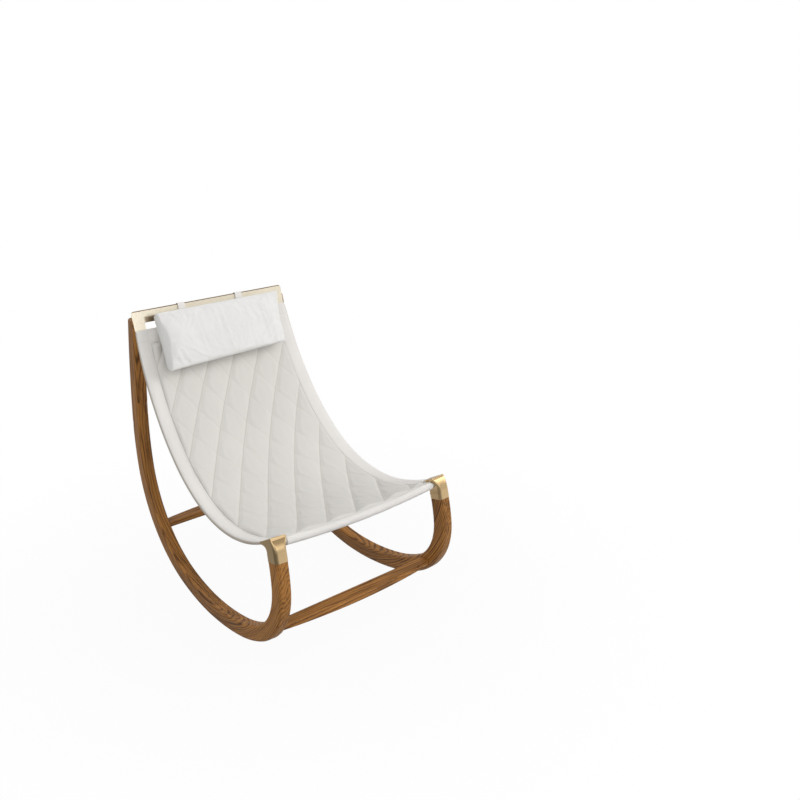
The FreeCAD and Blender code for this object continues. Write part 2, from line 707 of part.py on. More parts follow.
def plate_screw(name, side, growth, extra):
    """A countersunk screw through the plate's leg into the post, or the hole for it."""
    x = f"head_x + {side} * plate_screw_spread / 2"
    y = "plate_y - plate_screw_drop * sin(plate_lean) - plate_thickness * cos(plate_lean)"
    z = "plate_z - plate_screw_drop * cos(plate_lean) + plate_thickness * sin(plate_lean)"
    place = frame(x, y, z, "0", "0", "0 - 90 - plate_lean")
    shank = primitive("Cylinder", name + "_shank", Radius=f"plate_screw_diameter / 2 + {growth}",
                      Height=f"plate_screw_length + {extra}", Placement=place)
    head = primitive("Cone", name + "_head", Radius1=f"plate_screw_head / 2 + {growth}",
                     Radius2=f"plate_screw_diameter / 2 + {growth}",
                     Height="(plate_screw_head - plate_screw_diameter) / 2", Placement=place)
    return union(name, [shank, head])


def clamp_screw(name, growth, through):
    """The screw at the ferrule's inner rear corner, or the hole for it."""
    reach = "(timber_width / 2 + sleeve_proud - clamp_screw_sink)"
    place = "create(<<placement>>; create(<<vector>>; 0 - {r}; {r}; {z}); create(<<rotation>>; 135; 90; 0))"
    start = named(place.format(r=f"({reach} - clamp_screw_length) * cos(45)", z="clamp_screw_level"))
    shank = primitive("Cylinder", name + "_shank", Radius=f"clamp_screw_diameter / 2 + {growth}",
                      Height="clamp_screw_length", Placement=FERRULE + " * " + start)
    seat = named(place.format(r=f"({reach} - clamp_head_height) * cos(45)", z="clamp_screw_level"))
    head = primitive("Cylinder", name + "_head", Radius=f"clamp_screw_head / 2 + {growth}",
                     Height=f"clamp_head_height + {through}", Placement=FERRULE + " * " + seat)
    return union(name, [shank, head])


def rail_ring(name, radius, half_turn):
    """A round bar bent to the rail's bow."""
    return primitive("Torus", name, Radius1="bow_radius", Radius2=radius, Angle3=f"2 * {half_turn}",
                     Placement=frame("0", "rail_y", "bow_centre_z", "0", f"90 + {half_turn}", "90"))


def make_top_hem():
    """The cloth folded over the plate's lower rail, behind the sling's own front layer."""
    body = doc.addObject("PartDesign::Body", "top_hem")
    outline = new_sketch(body, "top_hem_outline", "YZ_Plane")
    front = -size("plate_thickness")
    inner, outer = size("cloth_gap"), size("cloth_gap") + size("hem_thickness")
    high = -size("slot_bottom")
    low = high + outer - size("hem_height")
    thick = size("hem_thickness")
    spots = [(front, high + outer), (outer, high + outer), (outer, low), (front, low),
             (front, low + thick), (inner, low + thick), (inner, high + inner), (front, high + inner)]
    for k, spot in enumerate(spots):
        outline.addGeometry(Part.LineSegment(V(*spot, 0), V(*spots[(k + 1) % 8], 0)))
    for k in range(8):
        outline.addConstraint(Sketcher.Constraint("Coincident", k, 2, (k + 1) % 8, 1))
        outline.addConstraint(Sketcher.Constraint("Vertical" if k % 2 else "Horizontal", k))
    datum(outline, "DistanceX", "plate_thickness", 0, 1, -1, 1)
    outline.addConstraint(Sketcher.Constraint("Vertical", 0, 1, 3, 1))
    datum(outline, "DistanceX", "cloth_gap + hem_thickness", -1, 1, 1, 1)
    datum(outline, "DistanceX", "cloth_gap", -1, 1, 5, 2)
    datum(outline, "DistanceY", "slot_bottom - cloth_gap - hem_thickness", 0, 1, -1, 1)
    datum(outline, "DistanceY", "slot_bottom - cloth_gap", 6, 2, -1, 1)
    datum(outline, "DistanceY", "hem_height", 2, 2, 0, 1)
    datum(outline, "DistanceY", "hem_thickness", 2, 2, 4, 2)
    doc.recompute()
    pad = body.newObject("PartDesign::Pad", "top_hem_fold")
    pad.Profile = outline
    pad.Midplane = True
    bind(pad, Length="2 * hem_half_length")
    bind(body, Placement=PLATE)
    doc.recompute()
    return body


def build():
    """Every node of the chair, by name."""
    nodes = {}
    timber = make_rocker_body()
    tenon = primitive("Cylinder", "post_tenon", Radius="tenon_diameter / 2", Height="tenon_length",
                      Placement=FERRULE)
    seat = primitive("Box", "plate_seat", Length="2 * timber_width", Width="seat_block_depth",
                     Height="plate_height + plate_rise",
                     Placement=PLATE + " * " + frame("head_x - timber_width", "0 - seat_block_depth",
                                                     "0 - plate_height"))
    holes, dowels = [], {}
    braces = (("front_stretcher", "front_brace", "180", -1), ("rear_stretcher", "rear_brace", "0", 1))
    side_block = primitive("Box", "rocker_face", Length="rocker_spacing", Width="4 * rear_reach",
                           Height="2 * rear_z_4",
                           Placement=ROCKER + " * " + frame("0 - timber_width / 2",
                                                            "0 - 2 * rear_reach", "0"))
    far_block = mirrored("far_rocker_face", side_block)
    for node, station, turn, outward in braces:
        board = make_brace_body(node, station, turn)
        tools = [side_block, far_block]
        for side, letter in ((outward, "outer"), (-outward, "inner")):
            pin = f"{node.split('_')[0]}_right_{letter}_dowel"
            dowels[pin] = dowel(pin, station, side, False, "0")
            hole = dowel(pin + "_hole", station, side, True, "close_fit")
            holes.append(hole)
            tools += [hole, mirrored(pin + "_far_hole", hole)]
        nodes[node] = cut(node, board, tools)
    plate_holes, screws = [], {}
    for side, letter in ((1, "outer"), (-1, "inner")):
        screw = f"right_{letter}_plate_screw"
        screws[screw] = plate_screw(screw, side, "0", "0")
        plate_holes.append(plate_screw(screw + "_hole", side, "close_fit", "dowel_end_gap"))
    clamp = clamp_screw("right_clamp_screw", "0", "0")
    clamp_hole = clamp_screw("clamp_screw_hole", "close_fit", "timber_width")
    whole = union("rocker_with_tenon", [timber, tenon])
    nodes["right_rocker"] = cut("right_rocker", whole, [seat, clamp_hole] + holes + plate_holes)
    nodes["left_rocker"] = mirrored("left_rocker", nodes["right_rocker"])
    frame_body = make_plate_body()
    far_holes = [mirrored(hole.Name + "_far", hole) for hole in plate_holes]
    recess = primitive("Box", "rail_recess", Length="slot_length - 2 * slot_corner",
                       Width="recess_depth", Height="rail_height - recess_drop",
                       Placement=PLATE + " * " + frame("slot_corner - slot_length / 2", "0 - plate_thickness",
                                                       "0 - rail_height"))
    nodes["top_plate"] = cut("top_plate", frame_body, plate_holes + far_holes + [recess])
    nodes["front_rail"] = rail_ring("front_rail", "rail_diameter / 2", "rail_half_turn")
    bore = rail_ring("rail_bore", "rail_diameter / 2 + close_fit", "rail_half_turn")
    socket = primitive("Cylinder", "tenon_socket", Radius="tenon_diameter / 2 + close_fit",
                       Height="tenon_length + dowel_end_gap", Placement=FERRULE)
    casting = make_casting()
    nodes["right_ferrule"] = cut("right_ferrule", casting, [socket, bore, clamp_hole])
    nodes["left_ferrule"] = mirrored("left_ferrule", nodes["right_ferrule"])
    nodes["right_clamp_screw"] = clamp
    nodes["left_clamp_screw"] = mirrored("left_clamp_screw", clamp)
    for name, piece in list(dowels.items()) + list(screws.items()):
        nodes[name] = piece
        far = name.replace("right", "left")
        nodes[far] = mirrored(far, piece)
    outer = rail_ring("hem_outside", "hem_radius", "hem_half_turn")
    inner = rail_ring("hem_inside", "rail_diameter / 2 + close_fit", "rail_half_turn")
    nodes["front_hem"] = cut("front_hem", outer, [inner])
    nodes["top_hem"] = make_top_hem()
    hem_room = rail_ring("hem_room", "hem_radius + cloth_gap", "rail_half_turn")
    notch = head_notch()
    nodes["sling"] = cut("sling", make_sling(), [hem_room, notch, mirrored("far_ferrule_notch", notch)])
    nodes["quilted_pad"] = make_pad()
    nodes["head_pillow"] = make_pillow()
    nodes["right_strap"] = make_strap("right_strap", "strap_offset + strap_spacing / 2")
    nodes["left_strap"] = make_strap("left_strap", "strap_offset - strap_spacing / 2")
    doc.recompute()
    return nodes


def check(nodes):
    """Stop at any feature that failed or any node that is not one sound solid."""
    for obj in doc.Objects:
        if "Invalid" in obj.State or "Error" in obj.State:
            raise RuntimeError(f"{obj.Name}: {obj.State}")
    for name, obj in nodes.items():
        if not obj.Shape.isValid() or len(obj.Shape.Solids) != 1 or obj.Shape.Volume <= 0:
            raise RuntimeError(f"{name}: {len(obj.Shape.Solids)} solids, valid {obj.Shape.isValid()}")


nodes = build()
check(nodes)
os.makedirs("parts", exist_ok=True)
for name, obj in nodes.items():
    obj.Label = name
    obj.Shape.exportStep(f"parts/{name}.step")
    box = obj.Shape.BoundBox
    print(f"{name}: {obj.Shape.Volume / 1000:.1f} cm3, y {box.YMin:.1f} {box.YMax:.1f}, "
          f"z {box.ZMin:.1f} {box.ZMax:.1f}, x {box.XMin:.1f} {box.XMax:.1f}")
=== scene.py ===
"""Dresses the rocking sling chair: finishes for its timber and metal, and its sewn cloth pieces."""
import bisect
import math

import bmesh
import bpy
from bpy.props import FloatProperty, FloatVectorProperty, IntProperty, PointerProperty
from mathutils import Matrix, Vector, noise


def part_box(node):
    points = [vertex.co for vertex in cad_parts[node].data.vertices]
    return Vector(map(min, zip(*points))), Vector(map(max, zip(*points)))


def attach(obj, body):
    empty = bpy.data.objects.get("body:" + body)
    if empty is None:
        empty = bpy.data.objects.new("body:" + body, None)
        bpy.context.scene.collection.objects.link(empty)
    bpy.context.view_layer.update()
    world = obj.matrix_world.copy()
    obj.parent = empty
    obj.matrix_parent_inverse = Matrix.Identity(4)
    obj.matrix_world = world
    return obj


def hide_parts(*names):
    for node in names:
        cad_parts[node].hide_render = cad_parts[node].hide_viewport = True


bl_info = {
    "name": "Rocking sling chair",
    "version": (1, 0, 0),
    "blender": (4, 5, 0),
    "location": "View3D > Sidebar > Chair",
    "description": "Finishes and sewn pieces of a rocking chair with a quilted sling",
    "category": "Object",
}

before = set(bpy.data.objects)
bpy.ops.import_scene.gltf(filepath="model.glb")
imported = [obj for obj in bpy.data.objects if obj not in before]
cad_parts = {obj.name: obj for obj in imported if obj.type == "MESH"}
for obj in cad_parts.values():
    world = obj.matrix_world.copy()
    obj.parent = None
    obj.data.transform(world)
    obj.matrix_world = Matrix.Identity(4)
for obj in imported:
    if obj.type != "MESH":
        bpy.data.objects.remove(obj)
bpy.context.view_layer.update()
FRAME_BODY, STRAP_BODY, PILLOW_BODY = "chair_frame", "strap_carriage", "pillow"

# The sling's middle line from the top plate to the front rail, as a cubic in the chair's own frame.
SLING_LINE = (Vector((0, 0.3878, 0.8400)), Vector((0, 0.3808, 0.8139)),
              Vector((0, 0.1486, 0.1181)), Vector((0, -0.4111, 0.4283)))
TOP_WIDTH, FRONT_WIDTH = 0.570, 0.636
SEAT_DISH, RAIL_BOW = 0.014, 0.017
RAIL_HALF, RAIL_Y, RAIL_Z = 0.303157, -0.416855, 0.418014
HEM_RADIUS, HEM_HALF = 0.0118, 0.2712
PLATE_TOP = Vector((0, 0.409714, 0.899353))
PLATE_LEAN = math.radians(15)
PLATE_THICKNESS, UPPER_RAIL, SLOT_FOOT, SLOT_HALF = 0.0028, 0.041, 0.065, 0.246
PILLOW_HINGE = Vector((0.010, 0.400808, 0.886210))
PILLOW_LEAN = math.radians(23)
# Flat cloth is drawn with its side edges here, whatever the sling's true width at that place.
EDGE, BORDER = 0.300, 0.047
NOTCH_SIDE, NOTCH_BACK = 0.2560, -0.3585
# Flat cloth is drawn this thick before it is shaped.
DRAWN_DEPTH = 0.01
# The pillow's back turns in from its seams within a share of its height, and is drawn up at the straps.
PILLOW_TURN, BACK_RISE, TAB_RISE, TAB_HALF, TAB_FADE = 0.06, 0.0065, 0.0105, 0.017, 0.006
STRAP_GAP = 0.0006
STRAPS = ("left_strap", "right_strap")
# Middle and radius of the bend that the rockers' grain follows.
BEND_Y, BEND_Z, BEND_RADIUS = -0.003, 0.45, 0.43
# Place, target and width of each soft lamp.
LAMPS = {
    "key": ((3.0, -1.4, 2.3), (0.0, 0.0, 0.5), 1.8),
    "fill": ((0.3, -2.7, 1.7), (0.0, 0.2, 0.7), 1.1),
    "side": ((-2.6, -2.0, 2.6), (0.0, 0.0, 0.5), 2.2),
    "back": ((-0.9, 3.2, 2.3), (0.0, 0.3, 0.5), 2.2),
}
BRIGHT_SIDE = (0.75, -0.35, 0.55)
WHITE = (1, 1, 1, 1)


def length_prop(name, text, size):
    """A size in metres that a user may change."""
    return FloatProperty(name=name, description=text, default=size, unit="LENGTH", precision=4)


def power_prop(name, text, watts):
    """A lamp's power that a user may change."""
    return FloatProperty(name=name, description=text, default=watts, min=0, unit="POWER")


def count_prop(name, text, number):
    """A number of quilted cells that a user may change."""
    return FloatProperty(name=name, description=text, default=number, min=1)


def colour_prop(name, text, red, green, blue):
    """A colour, given as it looks on screen in 0 to 255, that a user may change."""
    def linear(value):
        value /= 255
        return value / 12.92 if value <= 0.04045 else ((value + 0.055) / 1.055) ** 2.4
    return FloatVectorProperty(name=name, description=text, subtype="COLOR", size=3, min=0, max=1,
                               default=(linear(red), linear(green), linear(blue)))


class ChairClothSizes(bpy.types.PropertyGroup):
    """Sizes of the sewn pieces."""
    sling_depth: length_prop("Sling depth", "Thickness of the padded sling", 0.013)
    hem_depth: length_prop("Hem depth", "Thickness of the sling's cloth at the plate", 0.0026)
    fold_height: length_prop("Fold height", "How far the border's fold stands over the panel", 0.0018)
    fold_width: length_prop("Fold width", "Width of the step at the border's inner fold", 0.0022)
    top_band: length_prop("Top band", "Plain cloth between the plate and the quilted panel", 0.046)
    front_band: length_prop("Front band", "Plain cloth between the quilted panel and the rail", 0.024)
    quilt_rise: length_prop("Quilt rise", "Height of a quilted cell over its seams", 0.0088)
    quilt_base: length_prop("Quilt base", "Height of the quilt's seams over the sling", 0.0016)
    quilt_columns: count_prop("Quilt columns", "Cells across the panel", 5)
    quilt_rows: count_prop("Quilt rows", "Cells along the panel", 6)
    quilt_steps: IntProperty(name="Quilt steps", description="Mesh steps along a cell's side",
                             default=12, min=4, max=24)
    pillow_width: length_prop("Pillow width", "Length of the head pillow", 0.457)
    pillow_height: length_prop("Pillow height", "Height of the head pillow", 0.177)
    pillow_depth: length_prop("Pillow depth", "Depth of the head pillow at its crown", 0.056)
    pillow_seam: length_prop("Pillow seam", "How far the top seam stands before the pillow's back", 0.042)
    pillow_drop: length_prop("Pillow drop", "How far the top seam lies below the strap seam", 0.009)
    pillow_sag: length_prop("Pillow sag", "How much lower the pillow hangs at one end", 0.013)
    strap_width: length_prop("Strap width", "Width of a pillow strap", 0.0255)
    strap_depth: length_prop("Strap depth", "Thickness of a pillow strap", 0.0015)
    strap_ease: length_prop("Strap ease", "How far a strap stands off the plate's back", 0.0045)
    stitch: length_prop("Stitch", "Length of one stitch", 0.0042)


class ChairColours(bpy.types.PropertyGroup):
    """Colours of the finishes, as they look on screen."""
    timber_light: colour_prop("Timber light", "Early wood of the oiled timber", 176, 121, 60)
    timber_dark: colour_prop("Timber dark", "Late wood and pores of the oiled timber", 54, 26, 8)
    brass: colour_prop("Brass", "Satin brass of the ferrules", 223, 193, 146)
    # Painted reflection: a paler copy of the brass that stands in for the plate front's bright mirror of
    # the studio.
    plate: colour_prop("Plate", "Paler brass of the top plate", 243, 233, 212)
    # This colour is painted shade on the plate: its faces that look up, a line along its top and a patch
    # above its slot.
    edge: colour_prop("Cut edge", "Darker brass of the plate's cut edges", 118, 94, 62)
    # Painted shade: the ferrules' faces that look up are blended towards this darker brass.
    shoulder: colour_prop("Shoulder", "Darker brass of the ferrules' faces that look up", 170, 144, 106)
    steel: colour_prop("Steel", "Steel of the rail and screws", 188, 184, 176)
    cloth: colour_prop("Cloth", "White cloth of the sling", 234, 231, 227)
    quilt: colour_prop("Quilt cloth", "Off-white cloth of the quilted panel", 222, 219, 214)
    lining: colour_prop("Lining", "Dark inner side of the pillow's straps", 84, 80, 76)
    pillow: colour_prop("Pillow cloth", "White cloth of the head pillow", 236, 235, 233)
    seam: colour_prop("Seam", "Thread and shade in the sewn seams", 198, 192, 184)
    # Painted shade: the sling's side edges are blended towards this beige.
    painted_edge_shade: colour_prop("Binding", "Turned-in side edges of the sling", 176, 164, 148)
    floor: colour_prop("Floor", "Pale studio floor", 186, 186, 186)


class ChairStage(bpy.types.PropertyGroup):
    """The studio round the chair."""
    camera_spot: FloatVectorProperty(name="Camera", description="Place of the camera", size=3,
                                     subtype="XYZ", unit="LENGTH", default=(-1.543, -2.396, 1.714))
    camera_way: FloatVectorProperty(name="View", description="Direction that the camera looks in", size=3,
                                    subtype="XYZ", default=(0.607, 0.7115, -0.3534))
    camera_lens: FloatProperty(name="Lens", description="Focal length of the camera in millimetres",
                               default=42.8, min=10, max=200)
    key_power: power_prop("Key", "Power of the large soft lamp", 62)
    fill_power: power_prop("Fill", "Power of the lamp that the plate mirrors", 9)
    side_power: power_prop("Side", "Power of the soft lamp on the shaded side", 36)
    back_power: power_prop("Back", "Power of the soft lamp behind the chair", 30)
    sky_level: FloatProperty(name="Sky", description="Level of the soft light all round", default=0.45,
                             min=0)


def cloth_sizes():
    """The sizes set in the sidebar."""
    return bpy.context.scene.chair_cloth


def colour(name):
    """One of the sidebar's colours, ready for a shader socket."""
    return (*getattr(bpy.context.scene.chair_colours, name), 1.0)


def ease(value):
    """A smooth step from 0 to 1."""
    value = min(max(value, 0.0), 1.0)
    return value * value * (3 - 2 * value)


def blend(start, end, share):
    """The value at a share of the way from start to end."""
    return start + (end - start) * share


def sling_half(t):
    """Half of the sling's width at a share t of its line."""
    return blend(TOP_WIDTH, FRONT_WIDTH, t) / 2


def sling_spot(t, across, lift):
    """A point of the sling: across runs from -1 to 1 and lift is the height over its upper face."""
    a, b, c, d = SLING_LINE
    spot = a * (1 - t) ** 3 + b * 3 * t * (1 - t) ** 2 + c * 3 * t * t * (1 - t) + d * t ** 3
    way = ((b - a) * (1 - t) ** 2 + (c - b) * 2 * t * (1 - t) + (d - c) * t * t).normalized()
    rise = Vector((0, way.z, -way.y)).lerp(Vector((0, 0, 1)), t ** 4).normalized()
    dish = SEAT_DISH * math.sin(math.pi * t) ** 2 + RAIL_BOW * t ** 6
    return spot + Vector((sling_half(t) * across, 0, 0)) + rise * (lift - dish * (1 - across * across))


def sling_runs(steps=400):
    """How far along the cloth each even step of the sling's line lies."""
    runs = [0.0]
    for step in range(steps):
        gap = sling_spot((step + 1) / steps, 0, 0) - sling_spot(step / steps, 0, 0)
        runs.append(runs[-1] + gap.length)
    return runs


RUNS = sling_runs()
CLOTH_LENGTH = RUNS[-1]


def line_share(run):
    """The share of the sling's line at a length along the cloth."""
    if run >= CLOTH_LENGTH:
        return 1.0
    place = max(bisect.bisect_right(RUNS, run), 1)
    return (place - 1 + (run - RUNS[place - 1]) / (RUNS[place] - RUNS[place - 1])) / (len(RUNS) - 1)


def run_at(depth):
    """The length along the cloth at which the sling's line has this place front to back."""
    return next(run for run in (CLOTH_LENGTH * k / 2000 for k in range(2001))
                if sling_spot(line_share(run), 1, 0).y <= depth)


def cloth_depth(run):
    """The sling's thickness, thin at the top hem and at the rail."""
    sizes, t = cloth_sizes(), line_share(run)
    full = ease((t - 0.1) / 0.25) * ease((1.06 - t) / 0.2)
    return sizes.hem_depth + (sizes.sling_depth - sizes.hem_depth) * full


def lay_on_sling(bm, uv_name="cloth"):
    """Lays cloth, drawn as across, along and up, on the sling's curve and keeps its flat place as UV."""
    flat = bm.loops.layers.uv.new(uv_name)
    for face in bm.faces:
        for loop in face.loops:
            loop[flat].uv = loop.vert.co.xy
    for vert in bm.verts:
        x, run, lift = vert.co
        t = line_share(run)
        half, side = sling_half(t), abs(x)
        inner = 1 - BORDER / half
        if side <= EDGE - BORDER:
            across = side / (EDGE - BORDER) * inner
        else:
            across = 1 - (EDGE - side) / half
        vert.co = sling_spot(t, math.copysign(across, x), lift)


def cut_lines(bm, spots, normal):
    """Cuts flat cloth along straight lines, so that folds have edges of their own."""
    for spot in spots:
        bmesh.ops.bisect_plane(bm, geom=bm.verts[:] + bm.edges[:] + bm.faces[:], dist=1e-6,
                               plane_co=spot, plane_no=normal)


def make_object(name, bm, finish, sharp=None):
    """A smooth-shaded object in the chair's frame, from a finished bmesh."""
    mesh = bpy.data.meshes.new(name)
    bm.to_mesh(mesh)
    bm.free()
    mesh.shade_smooth()
    if sharp:
        mesh.set_sharp_from_angle(angle=math.radians(sharp))
    mesh.materials.append(finish)
    piece = bpy.data.objects.new(name, mesh)
    bpy.context.scene.collection.objects.link(piece)
    return piece


def soften(piece, levels=1):
    """Subdivides a piece once its mesh is final."""
    smooth = piece.modifiers.new("Soft", "SUBSURF")
    smooth.levels = smooth.render_levels = levels


def swell(piece, held, pressure, slack, frames, reach):
    """Swells a closed cloth shell between its held points, and caps how far a point may move."""
    scene, mesh = bpy.context.scene, piece.data
    rest = [vert.co.copy() for vert in mesh.vertices]
    piece.vertex_groups.new(name="held").add(held, 1.0, "REPLACE")
    cloth = piece.modifiers.new("Swell", "CLOTH")
    settings = cloth.settings
    settings.quality = 6
    settings.mass = 0.25
    settings.tension_stiffness = settings.compression_stiffness = 12
    settings.shear_stiffness = 6
    settings.bending_stiffness = 0.35
    settings.air_damping = 4
    settings.shrink_min = -slack
    settings.use_pressure = True
    settings.uniform_pressure_force = pressure
    settings.vertex_group_mass = "held"
    settings.effector_weights.gravity = 0
    cloth.collision_settings.use_collision = False
    cloth.point_cache.frame_start, cloth.point_cache.frame_end = 1, frames
    for step in range(1, frames + 1):
        scene.frame_set(step)
    swollen = bpy.data.meshes.new_from_object(piece.evaluated_get(bpy.context.evaluated_depsgraph_get()))
    for vert, start, end in zip(mesh.vertices, rest, swollen.vertices):
        move = end.co - start
        vert.co = start + move * min(1.0, reach / max(move.length, 1e-9))
    piece.modifiers.remove(cloth)
    piece.vertex_groups.clear()
    bpy.data.meshes.remove(swollen)
    scene.frame_set(1)


class Finish:
    """A material or world under construction: nodes are added by short calls and linked by hand-over."""

    def __init__(self, name, world=False):
        self.owner = (bpy.data.worlds if world else bpy.data.materials).new(name)
        self.owner.use_nodes = True
        self.tree = self.owner.node_tree
        self.shader = self.tree.nodes["Background" if world else "Principled BSDF"]
        self.output = self.tree.nodes["World Output" if world else "Material Output"]

    def link(self, value, socket):
        """Links an output to a socket, or sets a plain value on it."""
        if isinstance(value, bpy.types.NodeSocket):
            self.tree.links.new(value, socket)
        else:
            socket.default_value = value

    def node(self, kind, settings=None, **inputs):
        """Adds a node, with its settings and its inputs by name."""
        made = self.tree.nodes.new(kind)
        for key, value in (settings or {}).items():
            setattr(made, key, value)
        for key, value in inputs.items():
            self.link(value, made.inputs[key.replace("_", " ")])
        return made

    def math(self, operation, *values):
        """One arithmetic step."""
        made = self.tree.nodes.new("ShaderNodeMath")
        made.operation = operation
        for socket, value in zip(made.inputs, values):
            self.link(value, socket)
        return made.outputs[0]

    def vector(self, x, y, z):
        """A vector from three values."""
        made = self.tree.nodes.new("ShaderNodeCombineXYZ")
        for socket, value in zip(made.inputs, (x, y, z)):
            self.link(value, socket)
        return made.outputs[0]

    def place(self):
        """The chair's own x, y and z."""
        where = self.tree.nodes.new("ShaderNodeTexCoord").outputs["Object"]
        return self.node("ShaderNodeSeparateXYZ", Vector=where).outputs

    def flat_place(self):
        """Across and along flat cloth, from its own UV map."""
        where = self.node("ShaderNodeUVMap", {"uv_map": "cloth"}).outputs[0]
        return self.node("ShaderNodeSeparateXYZ", Vector=where).outputs

    def noise(self, vector, scale, detail=3.0, rough=0.55):
        """Fractal noise in 0 to 1."""
        return self.node("ShaderNodeTexNoise", Vector=vector, Scale=scale, Detail=detail,
                         Roughness=rough).outputs["Fac"]

    def span(self, value, start, end, low, high, way="LINEAR"):
        """A value carried from start..end to low..high and held inside it."""
        return self.node("ShaderNodeMapRange", {"clamp": True, "interpolation_type": way}, Value=value,
                         From_Min=start, From_Max=end, To_Min=low, To_Max=high).outputs[0]

    def ramp(self, value, start, end):
        """A value carried from start..end to 0..1 and held inside it."""
        return self.span(value, start, end, 0.0, 1.0)

    def rays(self):
        """1 where a ray comes straight from the eye, and 1 where it is mirrored by something."""
        path = self.node("ShaderNodeLightPath").outputs
        seen = self.math("MAXIMUM", path["Is Camera Ray"], path["Is Transmission Ray"])
        return seen, path["Is Glossy Ray"]

    def show_between(self, share, first, second):
        """Shows a blend of two nodes' shaders."""
        made = self.tree.nodes.new("ShaderNodeMixShader")
        for socket, value in zip(made.inputs, (share, first.outputs[0], second.outputs[0])):
            self.link(value, socket)
        self.link(made.outputs[0], self.output.inputs["Surface"])

    def mix(self, share, first, second):
        """A colour between two others."""
        made = self.node("ShaderNodeMix", {"data_type": "RGBA"})
        for key, value in (("Factor_Float", share), ("A_Color", first), ("B_Color", second)):
            socket = next(s for s in made.inputs if s.identifier == key)
            self.link(value, socket)
        return next(s for s in made.outputs if s.identifier == "Result_Color")

    def bump(self, height, distance, strength=1.0):
        """Fine relief on the surface."""
        made = self.node("ShaderNodeBump", Height=height, Distance=distance, Strength=strength)
        self.link(made.outputs[0], self.shader.inputs["Normal"])

    def set(self, **inputs):
        """Sets or links the shader's own sockets."""
        for key, value in inputs.items():
            self.link(value, self.shader.inputs[key.replace("_", " ")])
        return self


def timber_finish(name, along_x, tone_and_shade):
    """Oiled timber whose grain runs along a stretcher or round a rocker's bend; its last argument makes it
    darker, which on the rear timber is painted shade.
    """
    made = Finish(name)
    x, y, z = made.place()
    if along_x:
        across, along, other = y, x, z
    else:
        side = made.math("SUBTRACT", y, BEND_Y)
        over = made.math("SUBTRACT", z, BEND_Z)
        under = made.math("MINIMUM", over, 0.0)
        across = made.math("SQRT", made.math("ADD", made.math("MULTIPLY", side, side),
                                             made.math("MULTIPLY", under, under)))
        turn = made.math("ARCTAN2", side, made.math("MULTIPLY", under, -1.0))
        rise = made.math("MULTIPLY", made.math("MAXIMUM", over, 0.0), made.math("SIGN", side))
        along = made.math("ADD", made.math("MULTIPLY", turn, BEND_RADIUS), rise)
        other = x
    sway = made.noise(made.vector(across, made.math("MULTIPLY", along, 0.10), other), 13.0, 2.0)
    rings = made.math("ADD", made.math("MULTIPLY", across, 150.0), made.math("MULTIPLY", other, 95.0))
    rings = made.math("ADD", rings, made.math("MULTIPLY", sway, 9.0))
    wave = made.math("SINE", made.math("MULTIPLY", rings, math.tau))
    late = made.math("POWER", made.ramp(wave, -0.9, 1.0), 2.2)
    streaks = made.noise(made.vector(across, made.math("MULTIPLY", along, 0.03), other), 150.0, 3.0, 0.6)
    pores = made.noise(made.vector(across, made.math("MULTIPLY", along, 0.02), other), 520.0, 2.0, 0.5)
    tone = made.noise(made.vector(across, made.math("MULTIPLY", along, 0.3), other), 8.0, 2.0)
    pore = made.ramp(pores, 0.52, 0.70)
    dark = made.math("ADD", made.math("MULTIPLY", late, 0.52),
                     made.math("MULTIPLY", made.ramp(streaks, 0.38, 0.62), 0.46))
    dark = made.math("ADD", dark, made.math("MULTIPLY", pore, 0.34))
    # The last argument shifts the tone; for the rear timber this darkening is painted shade.
    dark = made.math("ADD", dark, made.math("MULTIPLY", made.math("SUBTRACT", tone, 0.64 - tone_and_shade), 0.9))
    shade = made.mix(made.ramp(dark, 0.0, 1.0), colour("timber_light"), colour("timber_dark"))
    made.set(Base_Color=shade, Roughness=made.span(pore, 0.0, 1.0, 0.46, 0.66), Specular_IOR_Level=0.26)
    made.bump(made.math("MULTIPLY", dark, -1.0), 0.0006, 0.5)
    return made.owner


def metal_finish(name, shade, roughness, brush, edge=None, turn=(0.32, 0.5), plate=False):
    """Satin metal with fine brushed lines and a little wear; given a darker colour, its faces that look up
    get painted shade.
    """
    made = Finish(name)
    x, y, z = made.place()
    lines = made.noise(made.vector(made.math("MULTIPLY", x, brush), y, z), 1600.0, 2.0)
    patches = made.noise(made.vector(x, y, z), 11.0, 3.0)
    worn = [0.94 * v for v in colour(shade)[:3]] + [1]
    tint = made.mix(made.ramp(patches, 0.3, 0.75), colour(shade), worn)
    if edge:
        normal = made.node("ShaderNodeNewGeometry").outputs["Normal"]
        _, back, up = made.node("ShaderNodeSeparateXYZ", Vector=normal).outputs
        # Painted shade: faces that look up are blended towards the darker colour given.
        tint = made.mix(made.ramp(up, *turn), tint, colour(edge))
        if plate:
            tint = plate_tones(made, tint, (x, y, z), back, colour(edge))
    gloss = made.math("ADD", roughness, made.math("MULTIPLY", made.math("SUBTRACT", lines, 0.5), 0.04))
    made.set(Base_Color=tint, Metallic=1.0, Roughness=gloss)
    made.bump(lines, 0.000002, 0.4)
    return made.owner


